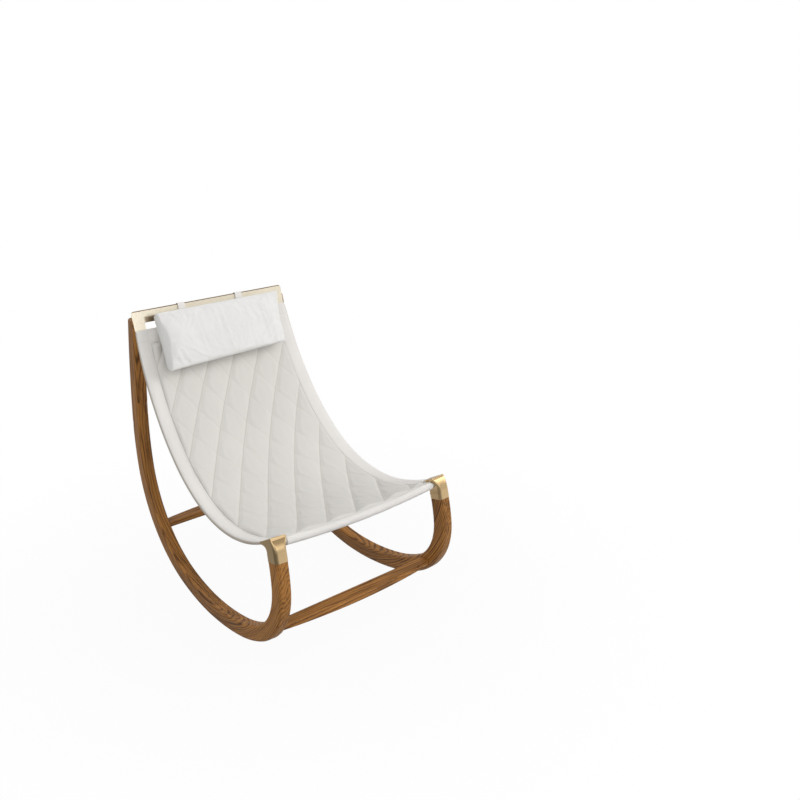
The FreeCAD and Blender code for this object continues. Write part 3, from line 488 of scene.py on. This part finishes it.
def plate_tones(made, tint, place, back, dark):
    """Gives the plate its light and shade: its back goes from the paler painted-reflection colour to the
    plain brass, and a dark line along its top and a patch above the slot on its front are painted shade.
    """
    x, y, z = place
    rises = (made.math("MULTIPLY", made.math("SUBTRACT", y, PLATE_TOP.y), math.sin(PLATE_LEAN)),
             made.math("MULTIPLY", made.math("SUBTRACT", z, PLATE_TOP.z), math.cos(PLATE_LEAN)))
    height = made.math("ADD", *rises)
    # The back keeps the plain brass; the front's paler colour is painted reflection.
    tint = made.mix(made.ramp(back, 0.3, 0.6), tint, colour("brass"))
    # Painted shade: a dark line along the plate's top.
    tint = made.mix(made.ramp(height, -0.0034, -0.0024), tint, dark)
    # Painted shade: a brown patch on the front, above the slot and inward from its ends.
    shaded = made.ramp(made.math("ABSOLUTE", x), SLOT_HALF + 0.001, SLOT_HALF - 0.006)
    for limit in (made.ramp(height, -0.020, -0.025), made.ramp(back, -0.3, -0.6),
                  made.ramp(height, 0.004 - SLOT_FOOT, -UPPER_RAIL - 0.004)):
        shaded = made.math("MULTIPLY", shaded, limit)
    return made.mix(made.math("MULTIPLY", shaded, 0.8), tint, dark)


def cloth_finish(name, shade, weave=1500.0, side_rows=(), cross_rows=()):
    """Woven cloth: a fine two-way weave, slubs, a slight unevenness of tone and rows of stitches."""
    made = Finish(name)
    across, along, _ = made.flat_place()
    x, y, z = made.place()
    warp = made.math("SINE", made.math("MULTIPLY", across, weave * math.tau))
    weft = made.math("SINE", made.math("MULTIPLY", along, weave * math.tau))
    threads = made.math("MULTIPLY", warp, weft)
    slubs = made.noise(made.vector(across, made.math("MULTIPLY", along, 0.15), 0.0), 260.0, 2.0)
    tone = made.noise(made.vector(x, y, z), 5.0, 3.0)
    fade = made.math("ADD", made.math("MULTIPLY", made.ramp(tone, 0.3, 0.7), 0.6),
                     made.math("MULTIPLY", slubs, 0.4))
    low = [0.93 * v for v in colour(shade)[:3]] + [1.0]
    base = made.mix(fade, low, colour(shade))
    relief = made.math("ADD", made.math("MULTIPLY", threads, 0.5), slubs)
    rows = [(made.math("ABSOLUTE", across), spot, along) for spot in side_rows]
    rows += [(along, spot, across) for spot in cross_rows]
    for where, spot, way in rows:
        off = made.math("ABSOLUTE", made.math("SUBTRACT", where, spot))
        dash = made.ramp(made.math("PINGPONG", way, cloth_sizes().stitch / 2), 0.0004, 0.0007)
        thread = made.math("MULTIPLY", made.ramp(off, 0.0007, 0.0004), dash)
        base = made.mix(made.math("MULTIPLY", thread, 0.6), base, colour("seam"))
        relief = made.math("SUBTRACT", relief, made.math("MULTIPLY", made.ramp(off, 0.0022, 0.0), 2.0))
        relief = made.math("ADD", relief, made.math("MULTIPLY", thread, 2.6))
    made.set(Base_Color=base, Roughness=0.86, Specular_IOR_Level=0.18)
    made.set(Sheen_Weight=0.12, Sheen_Roughness=0.5)
    made.bump(relief, 0.00025, 0.5)
    return made, across, along


def dress(nodes, finish):
    """Gives CAD nodes a finish in their own slots."""
    for name in nodes:
        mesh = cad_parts[name].data
        if mesh.materials:
            for number in range(len(mesh.materials)):
                mesh.materials[number] = finish
        else:
            mesh.materials.append(finish)


class CHAIR_OT_stage(bpy.types.Operator):
    """Make the pale floor, the soft light and the camera"""
    bl_idname = "chair.stage"
    bl_label = "Studio"

    def execute(self, context):
        scene, stage = context.scene, context.scene.chair_stage
        self.make_floor()
        self.make_sky(scene, stage.sky_level)
        for name, (spot, target, width) in LAMPS.items():
            self.add_lamp(scene, name + "_lamp", spot, target, width, getattr(stage, name + "_power"))
        lens = bpy.data.cameras.new("view")
        lens.lens, lens.sensor_width = stage.camera_lens, 36.0
        camera = bpy.data.objects.new("view", lens)
        camera.location = stage.camera_spot
        camera.rotation_euler = Vector(stage.camera_way).to_track_quat("-Z", "Y").to_euler()
        scene.collection.objects.link(camera)
        scene.camera = camera
        scene.view_settings.view_transform = "Standard"
        return {"FINISHED"}

    @staticmethod
    def make_floor():
        """A wide floor that shows near white, takes a soft shadow and is mirrored darker on one side."""
        made = Finish("pale_floor")
        made.set(Base_Color=colour("floor"), Roughness=0.9, Specular_IOR_Level=0.1)
        where = made.node("ShaderNodeTexCoord").outputs["Object"]
        x, y, _ = made.node("ShaderNodeSeparateXYZ", Vector=where).outputs
        away = made.node("ShaderNodeVectorMath", {"operation": "LENGTH"}, Vector=where).outputs["Value"]
        seen, mirrored = made.rays()
        pale = made.math("MULTIPLY", seen, made.span(away, 0.35, 1.5, 0.95, 1.0, "SMOOTHSTEP"))
        level = made.math("MAXIMUM", made.span(x, -1.15, 0.55, 0.13, 0.84),
                          made.span(y, 0.2, 0.9, 0.0, 0.6))
        strength = made.math("ADD", made.math("MULTIPLY", mirrored, made.math("SUBTRACT", level, 1.0)), 1.0)
        glow = made.node("ShaderNodeEmission", Strength=strength)
        made.show_between(made.math("MAXIMUM", pale, mirrored), made.shader, glow)
        bm = bmesh.new()
        bmesh.ops.create_grid(bm, x_segments=1, y_segments=1, size=30)
        make_object("floor", bm, made.owner)

    @staticmethod
    def make_sky(scene, level):
        """A soft sky, brighter on the key lamp's side and white where it is seen."""
        made = Finish("studio", world=True)
        way = made.node("ShaderNodeVectorMath", {"operation": "DOT_PRODUCT"})
        made.link(made.node("ShaderNodeTexCoord").outputs["Generated"], way.inputs[0])
        made.link(BRIGHT_SIDE, way.inputs[1])
        strength = made.span(way.outputs["Value"], -1.0, 1.0, 0.62 * level, 1.38 * level)
        made.set(Color=WHITE, Strength=strength)
        made.show_between(made.rays()[0], made.shader, made.node("ShaderNodeBackground", Color=WHITE))
        scene.world = made.owner

    @staticmethod
    def add_lamp(scene, name, spot, target, width, power):
        """A square soft lamp that looks at the chair."""
        lamp = bpy.data.lights.new(name, "AREA")
        lamp.size, lamp.energy = width, power
        holder = bpy.data.objects.new(name, lamp)
        holder.location = spot
        holder.rotation_euler = (Vector(target) - Vector(spot)).to_track_quat("-Z", "Y").to_euler()
        scene.collection.objects.link(holder)


class CHAIR_OT_timber(bpy.types.Operator):
    """Oil the rockers, the stretchers and their dowels"""
    bl_idname = "chair.timber"
    bl_label = "Timber"

    def execute(self, context):
        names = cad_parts
        dress([n for n in names if n.endswith("rocker")], timber_finish("bent_timber", False, 0.0))
        # The front timber is a little lighter for its own tone; the rear timber is made darker as painted
        # shade.
        for end, tone_and_shade in (("front", -0.05), ("rear", 0.10)):
            dress([n for n in names if n.startswith(end) and n.endswith(("stretcher", "dowel"))],
                  timber_finish(end + "_timber", True, tone_and_shade))
        return {"FINISHED"}


class CHAIR_OT_metal(bpy.types.Operator):
    """Finish the brass plate and ferrules, the rail and the screws"""
    bl_idname = "chair.metal"
    bl_label = "Metal"

    def execute(self, context):
        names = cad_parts
        # The ferrules get painted shade on their faces that look up.
        dress([n for n in names if n.endswith("ferrule")],
              metal_finish("satin_brass", "brass", 0.30, 0.04, "shoulder", (0.4, 0.62)))
        # The plate gets the paler colour as painted reflection and the darker colour as painted shade.
        dress([n for n in names if n.endswith("plate")],
              metal_finish("pale_brass", "plate", 0.28, 0.04, "edge", plate=True))
        dress([n for n in names if n.endswith(("rail", "screw"))],
              metal_finish("plain_steel", "steel", 0.38, 0.2))
        return {"FINISHED"}


class CHAIR_OT_sling(bpy.types.Operator):
    """Sew the padded sling with its folded border"""
    bl_idname = "chair.sling"
    bl_label = "Sling"

    def execute(self, context):
        sizes = cloth_sizes()
        finish, across, _ = cloth_finish("sling_cloth", "cloth", side_rows=(EDGE - BORDER + 0.007,),
                                         cross_rows=(sizes.top_band - 0.007, CLOTH_LENGTH - 0.019))
        self.paint_edge_shade(finish, across)
        bm = bmesh.new()
        bmesh.ops.create_grid(bm, x_segments=40, y_segments=90, size=0.5)
        bmesh.ops.transform(bm, verts=bm.verts, matrix=Matrix.Translation((0, CLOTH_LENGTH / 2, 0))
                            @ Matrix.Diagonal((2 * EDGE, CLOTH_LENGTH, 1, 1)))
        fold, panel = sizes.fold_width, EDGE - BORDER
        top, front = sizes.top_band, CLOTH_LENGTH - sizes.front_band
        cut_lines(bm, [(s * (panel + k), 0, 0) for s in (1, -1) for k in (0, fold)], (1, 0, 0))
        cut_lines(bm, [(0, y, 0) for y in (top, top - fold, front, front + fold)], (0, 1, 0))
        cut_lines(bm, [(0, CLOTH_LENGTH - k, 0) for k in (0.016, 0.0135, 0.0125, 0.010)], (0, 1, 0))
        notch = run_at(NOTCH_BACK)
        cut_lines(bm, [(s * NOTCH_SIDE, 0, 0) for s in (1, -1)], (1, 0, 0))
        cut_lines(bm, [(0, notch, 0)], (0, 1, 0))
        corners = [f for f in bm.faces if abs(f.calc_center_median().x) > NOTCH_SIDE
                   and f.calc_center_median().y > notch]
        bmesh.ops.delete(bm, geom=corners, context="FACES")
        bmesh.ops.solidify(bm, geom=bm.faces[:], thickness=DRAWN_DEPTH)
        for vert in bm.verts:
            vert.co.z = 0 if abs(vert.co.z) < DRAWN_DEPTH / 2 else -cloth_depth(vert.co.y)
        rim = [e for e in bm.edges if abs(e.verts[0].co.z - e.verts[1].co.z) > 1e-3
               and (e.verts[0].co - e.verts[1].co).xy.length < 1e-6]
        bmesh.ops.subdivide_edges(bm, edges=rim, cuts=3, use_grid_fill=True)
        for vert in bm.verts:
            self.shape(vert, sizes, panel, top, front)
        lay_on_sling(bm)
        bmesh.ops.recalc_face_normals(bm, faces=bm.faces[:])
        piece = make_object("sling_cloth", bm, finish.owner, 50)
        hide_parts("sling")
        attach(piece, FRAME_BODY)
        return {"FINISHED"}

    @staticmethod
    def paint_edge_shade(finish, across):
        """Paints shade on the sling's side edges."""
        base = finish.shader.inputs["Base Color"].links[0].from_socket
        # Painted shade on the outer few millimetres of the cloth, where its side walls lie.
        outer = finish.ramp(finish.math("ABSOLUTE", across), EDGE - 0.0045, EDGE - 0.001)
        finish.set(Base_Color=finish.mix(finish.math("MULTIPLY", outer, 0.8), base, colour("painted_edge_shade")))

    @staticmethod
    def shape(vert, sizes, panel, top, front):
        """Rounds the side edges, lifts the folded border and gives the cloth a slight unevenness."""
        x, run, level = vert.co
        depth = cloth_depth(run)
        share = -level / depth
        side = abs(x)
        if side > panel:
            outer = side > EDGE - 1e-5
            side = panel + (side - panel) * (1 - depth / 2 / BORDER)
            if outer:
                side += depth / 2 * math.sin(math.pi * min(max(share, 0), 1)) ** 0.6
        lift = 0.0
        fold = sizes.fold_width - 1e-5
        if abs(x) >= panel + fold or run <= top - fold or run >= front + fold:
            lift = sizes.fold_height * ease(run / 0.012) * ease((CLOTH_LENGTH - run) / 0.02)
        lift *= max(0.0, 1 - share)
        ripple = noise.noise(Vector((x * 9, run * 9, 3.1))) * 0.0009 * ease(run / 0.05)
        ripple *= ease((CLOTH_LENGTH - run) / 0.05)
        groove = 0.003 * max(0.0, 1 - abs(CLOTH_LENGTH - 0.013 - run) / 0.003) if share < 0.01 else 0.0
        vert.co = Vector((math.copysign(side, x), run, level + lift + ripple - groove))


class CHAIR_OT_quilt(bpy.types.Operator):
    """Sew the quilted panel, puffed between two families of slanted seams"""
    bl_idname = "chair.quilt"
    bl_label = "Quilted panel"

    def execute(self, context):
        sizes = cloth_sizes()
        steps, panel = sizes.quilt_steps, EDGE - BORDER
        top, front = sizes.top_band + 0.0005, CLOTH_LENGTH - sizes.front_band - 0.0005
        wide, long = 2 * panel / sizes.quilt_columns, (front - top) / sizes.quilt_rows
        cells = math.ceil(2 * panel / wide + (front - top) / long) + 3
        bm = bmesh.new()
        bmesh.ops.create_grid(bm, x_segments=cells * steps, y_segments=cells * steps, size=cells / 2)
        slant = Matrix(((wide / 2, wide / 2, 0, 0), (long / 2, -long / 2, 0, 0),
                        (0, 0, 1, 0), (0, 0, 0, 1)))
        middle = Matrix.Translation((cells / 2 - 1, cells / 2 - 1 - math.ceil((front - top) / long), 0))
        bmesh.ops.transform(bm, verts=bm.verts, matrix=Matrix.Translation(
            (-panel - wide / 2, top, 0)) @ slant @ middle)
        for spot, way in (((panel, 0, 0), (1, 0, 0)), ((-panel, 0, 0), (-1, 0, 0)),
                          ((0, front, 0), (0, 1, 0)), ((0, top, 0), (0, -1, 0))):
            bmesh.ops.bisect_plane(bm, geom=bm.verts[:] + bm.edges[:] + bm.faces[:], dist=1e-5,
                                   plane_co=spot, plane_no=way, clear_outer=True)
        bmesh.ops.solidify(bm, geom=bm.faces[:], thickness=DRAWN_DEPTH)
        held = bm.verts.layers.int.new("held")
        for vert in bm.verts:
            x, run, level = vert.co
            p = (x + panel) / wide + (run - top) / long + 0.5
            q = (x + panel) / wide - (run - top) / long + 0.5
            seam = min(abs(p - round(p)), abs(q - round(q))) < 0.01
            rim = panel - abs(x) < 1e-4 or min(run - top, front - run) < 1e-4
            under = abs(level) > DRAWN_DEPTH / 2
            edge = min(max(min(panel - abs(x), run - top, front - run) / 0.012, 0.0), 1.0)
            deep_seam = abs(math.sin(math.pi * p)) ** 0.55
            light_seam = 0.58 + 0.42 * abs(math.sin(math.pi * q)) ** 0.6
            vert[held] = int(seam or rim or under)
            puff = deep_seam * light_seam * math.sqrt(edge)
            vert.co.z = 0.0004 if under else sizes.quilt_base + sizes.quilt_rise * puff
        finish, across, along = cloth_finish("quilt_cloth", "quilt")
        self.sew_and_shade(finish, across, along, wide, long, panel, top)
        lay_on_sling(bm)
        bmesh.ops.recalc_face_normals(bm, faces=bm.faces[:])
        pins = [v.index for v in bm.verts if v[held]]
        piece = make_object("quilted_panel", bm, finish.owner, 60)
        swell(piece, pins, pressure=1.0, slack=0.003, frames=12, reach=0.0016)
        soften(piece)
        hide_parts("quilted_pad")
        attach(piece, FRAME_BODY)
        return {"FINISHED"}

    @staticmethod
    def sew_and_shade(finish, across, along, wide, long, panel, top):
        """Paints shade along the seams' creases, strong for the steep seams and faint for the crossing
        ones, and darkens the dashes of the thread.
        """
        right = finish.math("ADD", finish.math("DIVIDE", finish.math("ADD", across, panel), wide), 0.5)
        down = finish.math("DIVIDE", finish.math("SUBTRACT", along, top), long)
        base = finish.shader.inputs["Base Color"].links[0].from_socket
        stitches = math.hypot(wide, long) / 2 / cloth_sizes().stitch
        for kind, other, reach, depth in (("ADD", "SUBTRACT", 0.030, 0.75),
                                          ("SUBTRACT", "ADD", 0.022, 0.22)):
            near = finish.math("PINGPONG", finish.math(kind, right, down), 0.5)
            # Painted shade: a band along each seam is blended towards the seam colour.
            shade = finish.math("MULTIPLY", finish.ramp(near, reach, 0.003), depth)
            base = finish.mix(shade, base, colour("seam"))
            count = finish.math("MULTIPLY", finish.math(other, right, down), stitches)
            dash = finish.math("PINGPONG", count, 0.5)
            thread = finish.math("MULTIPLY", finish.ramp(near, 0.008, 0.005), finish.ramp(dash, 0.10, 0.16))
            base = finish.mix(finish.math("MULTIPLY", thread, 0.35), base, colour("seam"))
        finish.set(Base_Color=base)


class CHAIR_OT_hems(bpy.types.Operator):
    """Sew the front hem round the rail and the top hem over the plate's lower rail"""
    bl_idname = "chair.hems"
    bl_label = "Hems"

    def execute(self, context):
        finish, _, _ = cloth_finish("hem_cloth", "cloth")
        self.front_hem(finish.owner)
        self.top_hem(finish.owner)
        return {"FINISHED"}

    @staticmethod
    def front_hem(finish):
        """A cloth tube bent to the rail's bow, a little gathered."""
        bow = (RAIL_HALF ** 2 + RAIL_BOW ** 2) / (2 * RAIL_BOW)
        middle = Vector((0, RAIL_Y, RAIL_Z - RAIL_BOW + bow))
        turn = 2 * math.asin(HEM_HALF / bow)
        bm = bmesh.new()
        flat = bm.loops.layers.uv.new("cloth")
        ring = bmesh.ops.create_circle(bm, segments=28, radius=HEM_RADIUS, cap_ends=False)["verts"]
        bmesh.ops.rotate(bm, verts=ring, cent=(0, 0, 0), matrix=Matrix.Rotation(math.pi / 2, 3, "Y"))
        bmesh.ops.translate(bm, verts=ring, vec=(0, RAIL_Y, middle.z - bow))
        bmesh.ops.rotate(bm, verts=ring, cent=middle, matrix=Matrix.Rotation(turn / 2, 3, "Y"))
        bmesh.ops.spin(bm, geom=bm.edges[:], cent=middle, axis=(0, 1, 0), angle=-turn, steps=110,
                       use_merge=False)
        bmesh.ops.recalc_face_normals(bm, faces=bm.faces[:])
        bm.normal_update()
        for vert in bm.verts:
            gather = noise.noise(Vector((vert.co.x * 46, vert.co.y * 30, vert.co.z * 30)))
            vert.co += vert.normal * (gather * 0.0005 - 0.0002)
        for face in bm.faces:
            for loop in face.loops:
                spot = loop.vert.co
                loop[flat].uv = (spot.x, math.atan2(spot.z - RAIL_Z, spot.y - RAIL_Y) * HEM_RADIUS)
        bmesh.ops.solidify(bm, geom=bm.faces[:], thickness=0.0013)
        piece = make_object("front_hem_cloth", bm, finish, 40)
        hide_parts("front_hem")
        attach(piece, FRAME_BODY)

    @staticmethod
    def top_hem(finish):
        """A flat strip of cloth over the plate's lower rail, down to where it joins the sling."""
        half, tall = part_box("top_hem")[1].x, 0.042
        bm = bmesh.new()
        flat = bm.loops.layers.uv.new("cloth")
        bmesh.ops.create_grid(bm, x_segments=60, y_segments=10, size=0.5)
        bmesh.ops.transform(bm, verts=bm.verts, matrix=Matrix.Diagonal((2 * half, tall, 1, 1)))
        for face in bm.faces:
            for loop in face.loops:
                loop[flat].uv = loop.vert.co.xy
        lean = Matrix.Rotation(-PLATE_LEAN, 4, "X")
        middle = Matrix.Translation((0, 0.0012, 0.002 - SLOT_FOOT - tall / 2))
        bmesh.ops.transform(bm, verts=bm.verts, matrix=Matrix.Translation(PLATE_TOP) @ lean @ middle
                            @ Matrix.Rotation(math.pi / 2, 4, "X"))
        bmesh.ops.solidify(bm, geom=bm.faces[:], thickness=0.0012)
        bmesh.ops.recalc_face_normals(bm, faces=bm.faces[:])
        piece = make_object("top_hem_cloth", bm, finish, 40)
        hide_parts("top_hem")
        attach(piece, FRAME_BODY)


class CHAIR_OT_pillow(bpy.types.Operator):
    """Stuff and sew the head pillow"""
    bl_idname = "chair.pillow"
    bl_label = "Head pillow"

    def execute(self, context):
        sizes = cloth_sizes()
        finish, _, _ = cloth_finish("pillow_cloth", "pillow")
        bm = bmesh.new()
        bmesh.ops.create_grid(bm, x_segments=150, y_segments=64, size=0.5)
        flat = bm.loops.layers.uv.new("cloth")
        bmesh.ops.transform(bm, verts=bm.verts, matrix=Matrix.Diagonal(
            (sizes.pillow_width, sizes.pillow_height, 1, 1)))
        bmesh.ops.solidify(bm, geom=bm.faces[:], thickness=DRAWN_DEPTH)
        rim = [e for e in bm.edges if abs(e.verts[0].co.z - e.verts[1].co.z) > 1e-3]
        bmesh.ops.subdivide_edges(bm, edges=rim, cuts=3, use_grid_fill=True)
        held = bm.verts.layers.int.new("held")
        for face in bm.faces:
            for loop in face.loops:
                x, y, level = loop.vert.co
                loop[flat].uv = (x + math.copysign(2 * level, x), y)
        straps = [sum(corner.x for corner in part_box(name)) / 2 - PILLOW_HINGE.x for name in STRAPS]
        for vert in bm.verts:
            self.stuff(vert, held, sizes, straps)
        place = Matrix.Translation(PILLOW_HINGE) @ Matrix.Rotation(-PILLOW_LEAN, 4, "X")
        bmesh.ops.transform(bm, verts=bm.verts, matrix=place)
        bmesh.ops.recalc_face_normals(bm, faces=bm.faces[:])
        pins = [v.index for v in bm.verts if v[held]]
        piece = make_object("pillow_cover", bm, finish.owner)
        swell(piece, pins, pressure=1.6, slack=0.004, frames=14, reach=0.004)
        self.gather(piece, place, sizes)
        soften(piece)
        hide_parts("head_pillow")
        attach(piece, PILLOW_BODY)
        return {"FINISHED"}

    @staticmethod
    def stuff(vert, held, sizes, straps):
        """Moves a point of the flat cover to its place on the stuffed pillow, as seen from the hinge."""
        wide, tall, deep = sizes.pillow_width, sizes.pillow_height, sizes.pillow_depth
        x, y, level = vert.co
        share = min(abs(level) / DRAWN_DEPTH, 1.0)
        u, down = abs(x) / (wide / 2), min(max(0.5 - y / tall, 0.0), 1.0)
        seam = sizes.pillow_seam - 0.006 * math.sin(math.pi * down)
        upper = min(down / 0.55, 1.0)
        crown = (1 - (1 - upper) ** 2.4) ** 0.6 * math.sqrt(max(0.0, 1 - down ** 16))
        ends = max(0.0, 1 - u ** 12) ** 0.6
        front = seam + (deep - seam) * crown * ends
        hollow = min(down / PILLOW_TURN, 1.0) * min((1 - down) / PILLOW_TURN, 1.0) ** 0.5
        back = seam * (1 - hollow * (0.80 + 0.20 * math.sqrt(max(0.0, 1 - u ** 16)))) + 0.0006
        tab = max(ease((TAB_HALF - abs(x - spot)) / TAB_FADE) for spot in straps)
        tab *= max(0.0, 1 - abs(down - PILLOW_TURN) / (2 * PILLOW_TURN))
        rise = ease(down / PILLOW_TURN) * (BACK_RISE * (1 - down) + TAB_RISE * tab)
        high = -sizes.pillow_drop - down * tall
        slack = sizes.pillow_sag * (0.5 - x / wide) * down
        pulled = x * (1 - 0.012 * math.sin(math.pi * down)) - 0.016 * down * max(0.0, x / (wide / 2)) ** 2
        if u > 0.999:
            pulled += math.copysign(0.006 * math.sin(math.pi * share), x)
        vert[held] = int(share > 0.1 or u > 0.999 or not 0.001 < down < 0.999)
        vert.co = Vector((pulled, -blend(front, back, share), high + rise * share - slack))

    @staticmethod
    def gather(piece, place, sizes):
        """Adds the cover's fine upright gathers and the puckers beside its end seams."""
        wide, tall = sizes.pillow_width, sizes.pillow_height + sizes.pillow_drop
        back = place.inverted()
        for vert in piece.data.vertices:
            x, y, z = back @ vert.co
            rest = ease((wide / 2 - abs(x)) / 0.012) * ease(-(z + sizes.pillow_drop) / 0.02)
            rest *= ease((tall + z) / 0.02) * ease((-y - 0.022) / 0.012)
            folds = noise.noise(Vector((x * 105 + z * 9, z * 7, 0.4))) * 0.0007
            sweep = noise.noise(Vector((x * 20 + z * 12, z * 9, 5.2))) * 0.0014
            ends = math.exp(-(wide / 2 - abs(x)) / 0.030)
            pucker = noise.noise(Vector((x * 16, z * 62, 2.3))) * 0.0036 * ends
            vert.co = place @ Vector((x, y - (folds + sweep + pucker) * rest, z))


class CHAIR_OT_straps(bpy.types.Operator):
    """Loop the pillow's straps round the plate's upper rail"""
    bl_idname = "chair.straps"
    bl_label = "Straps"

    def execute(self, context):
        sizes = cloth_sizes()
        finish, across, _ = cloth_finish("strap_webbing", "cloth", 700.0)
        base = finish.shader.inputs["Base Color"].links[0].from_socket
        finish.set(Base_Color=finish.mix(finish.ramp(across, 0.5, 0.6), base, colour("lining")))
        deep, tall = PLATE_THICKNESS + STRAP_GAP + sizes.strap_ease, UPPER_RAIL + 2 * STRAP_GAP
        for name in STRAPS:
            bm = bmesh.new()
            flat = bm.loops.layers.uv.new("cloth")
            bmesh.ops.create_grid(bm, x_segments=1, y_segments=1, size=0.5)
            bmesh.ops.transform(bm, verts=bm.verts, matrix=Matrix.Diagonal((deep, tall, 1, 1)))
            bmesh.ops.bevel(bm, geom=bm.verts[:], offset=0.0011, segments=4, profile=0.5, affect="VERTICES",
                            material=-1)
            loop_face = bm.faces[:]
            outline = bm.edges[:]
            side = bmesh.ops.extrude_edge_only(bm, edges=outline)["geom"]
            moved = [g for g in side if isinstance(g, bmesh.types.BMVert)]
            bmesh.ops.translate(bm, verts=moved, vec=(0, 0, sizes.strap_width))
            bmesh.ops.delete(bm, geom=loop_face, context="FACES_ONLY")
            bmesh.ops.subdivide_edges(bm, edges=bm.edges[:], cuts=2, use_grid_fill=True)
            bmesh.ops.recalc_face_normals(bm, faces=bm.faces[:])
            bmesh.ops.solidify(bm, geom=bm.faces[:], thickness=-sizes.strap_depth)
            bmesh.ops.recalc_face_normals(bm, faces=bm.faces[:])
            for face in bm.faces:
                out = face.calc_center_median()
                outward = face.normal.x * out.x * (tall / deep) ** 2 + face.normal.y * out.y
                inner = 0.0 if outward > 0.001 else 1.0
                for loop in face.loops:
                    loop[flat].uv = (loop.vert.co.z + inner, loop.vert.co.y + loop.vert.co.x)
            turn = Matrix.Rotation(-PLATE_LEAN, 4, "X") @ Matrix.Translation(
                (0, deep / 2 - PLATE_THICKNESS - STRAP_GAP, -UPPER_RAIL / 2))
            stand = Matrix(((0, 0, 1, 0), (1, 0, 0, 0), (0, 1, 0, 0), (0, 0, 0, 1)))
            bmesh.ops.transform(bm, verts=bm.verts, matrix=Matrix.Translation(
                PLATE_TOP + Vector((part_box(name)[0].x, 0, 0))) @ turn @ stand)
            bmesh.ops.recalc_face_normals(bm, faces=bm.faces[:])
            piece = make_object(name + "_webbing", bm, finish.owner, 35)
            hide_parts(name)
            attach(piece, STRAP_BODY)
        return {"FINISHED"}


OPERATORS = (CHAIR_OT_stage, CHAIR_OT_timber, CHAIR_OT_metal, CHAIR_OT_sling, CHAIR_OT_quilt, CHAIR_OT_hems,
             CHAIR_OT_pillow, CHAIR_OT_straps)


class CHAIR_PT_pieces(bpy.types.Panel):
    """Lists the chair's pieces and what can be changed on them"""
    bl_label = "Rocking sling chair"
    bl_idname = "CHAIR_PT_pieces"
    bl_space_type = "VIEW_3D"
    bl_region_type = "UI"
    bl_category = "Chair"

    def draw(self, context):
        for operator in OPERATORS:
            self.layout.operator(operator.bl_idname)
        for group in (context.scene.chair_cloth, context.scene.chair_colours, context.scene.chair_stage):
            box = self.layout.box()
            for name in group.bl_rna.properties.keys():
                if name not in ("rna_type", "name"):
                    box.prop(group, name)


GROUPS = {"chair_cloth": ChairClothSizes, "chair_colours": ChairColours, "chair_stage": ChairStage}


def register():
    for made in (*GROUPS.values(), *OPERATORS, CHAIR_PT_pieces):
        bpy.utils.register_class(made)
    for name, group in GROUPS.items():
        setattr(bpy.types.Scene, name, PointerProperty(type=group))


def unregister():
    for name in GROUPS:
        delattr(bpy.types.Scene, name)
    for made in (CHAIR_PT_pieces, *reversed(OPERATORS), *GROUPS.values()):
        bpy.utils.unregister_class(made)


def main():
    """Dresses the chair."""
    register()
    for operator in OPERATORS:
        family, name = operator.bl_idname.split(".")
        getattr(getattr(bpy.ops, family), name)()


if __name__ == "__main__":
    main()
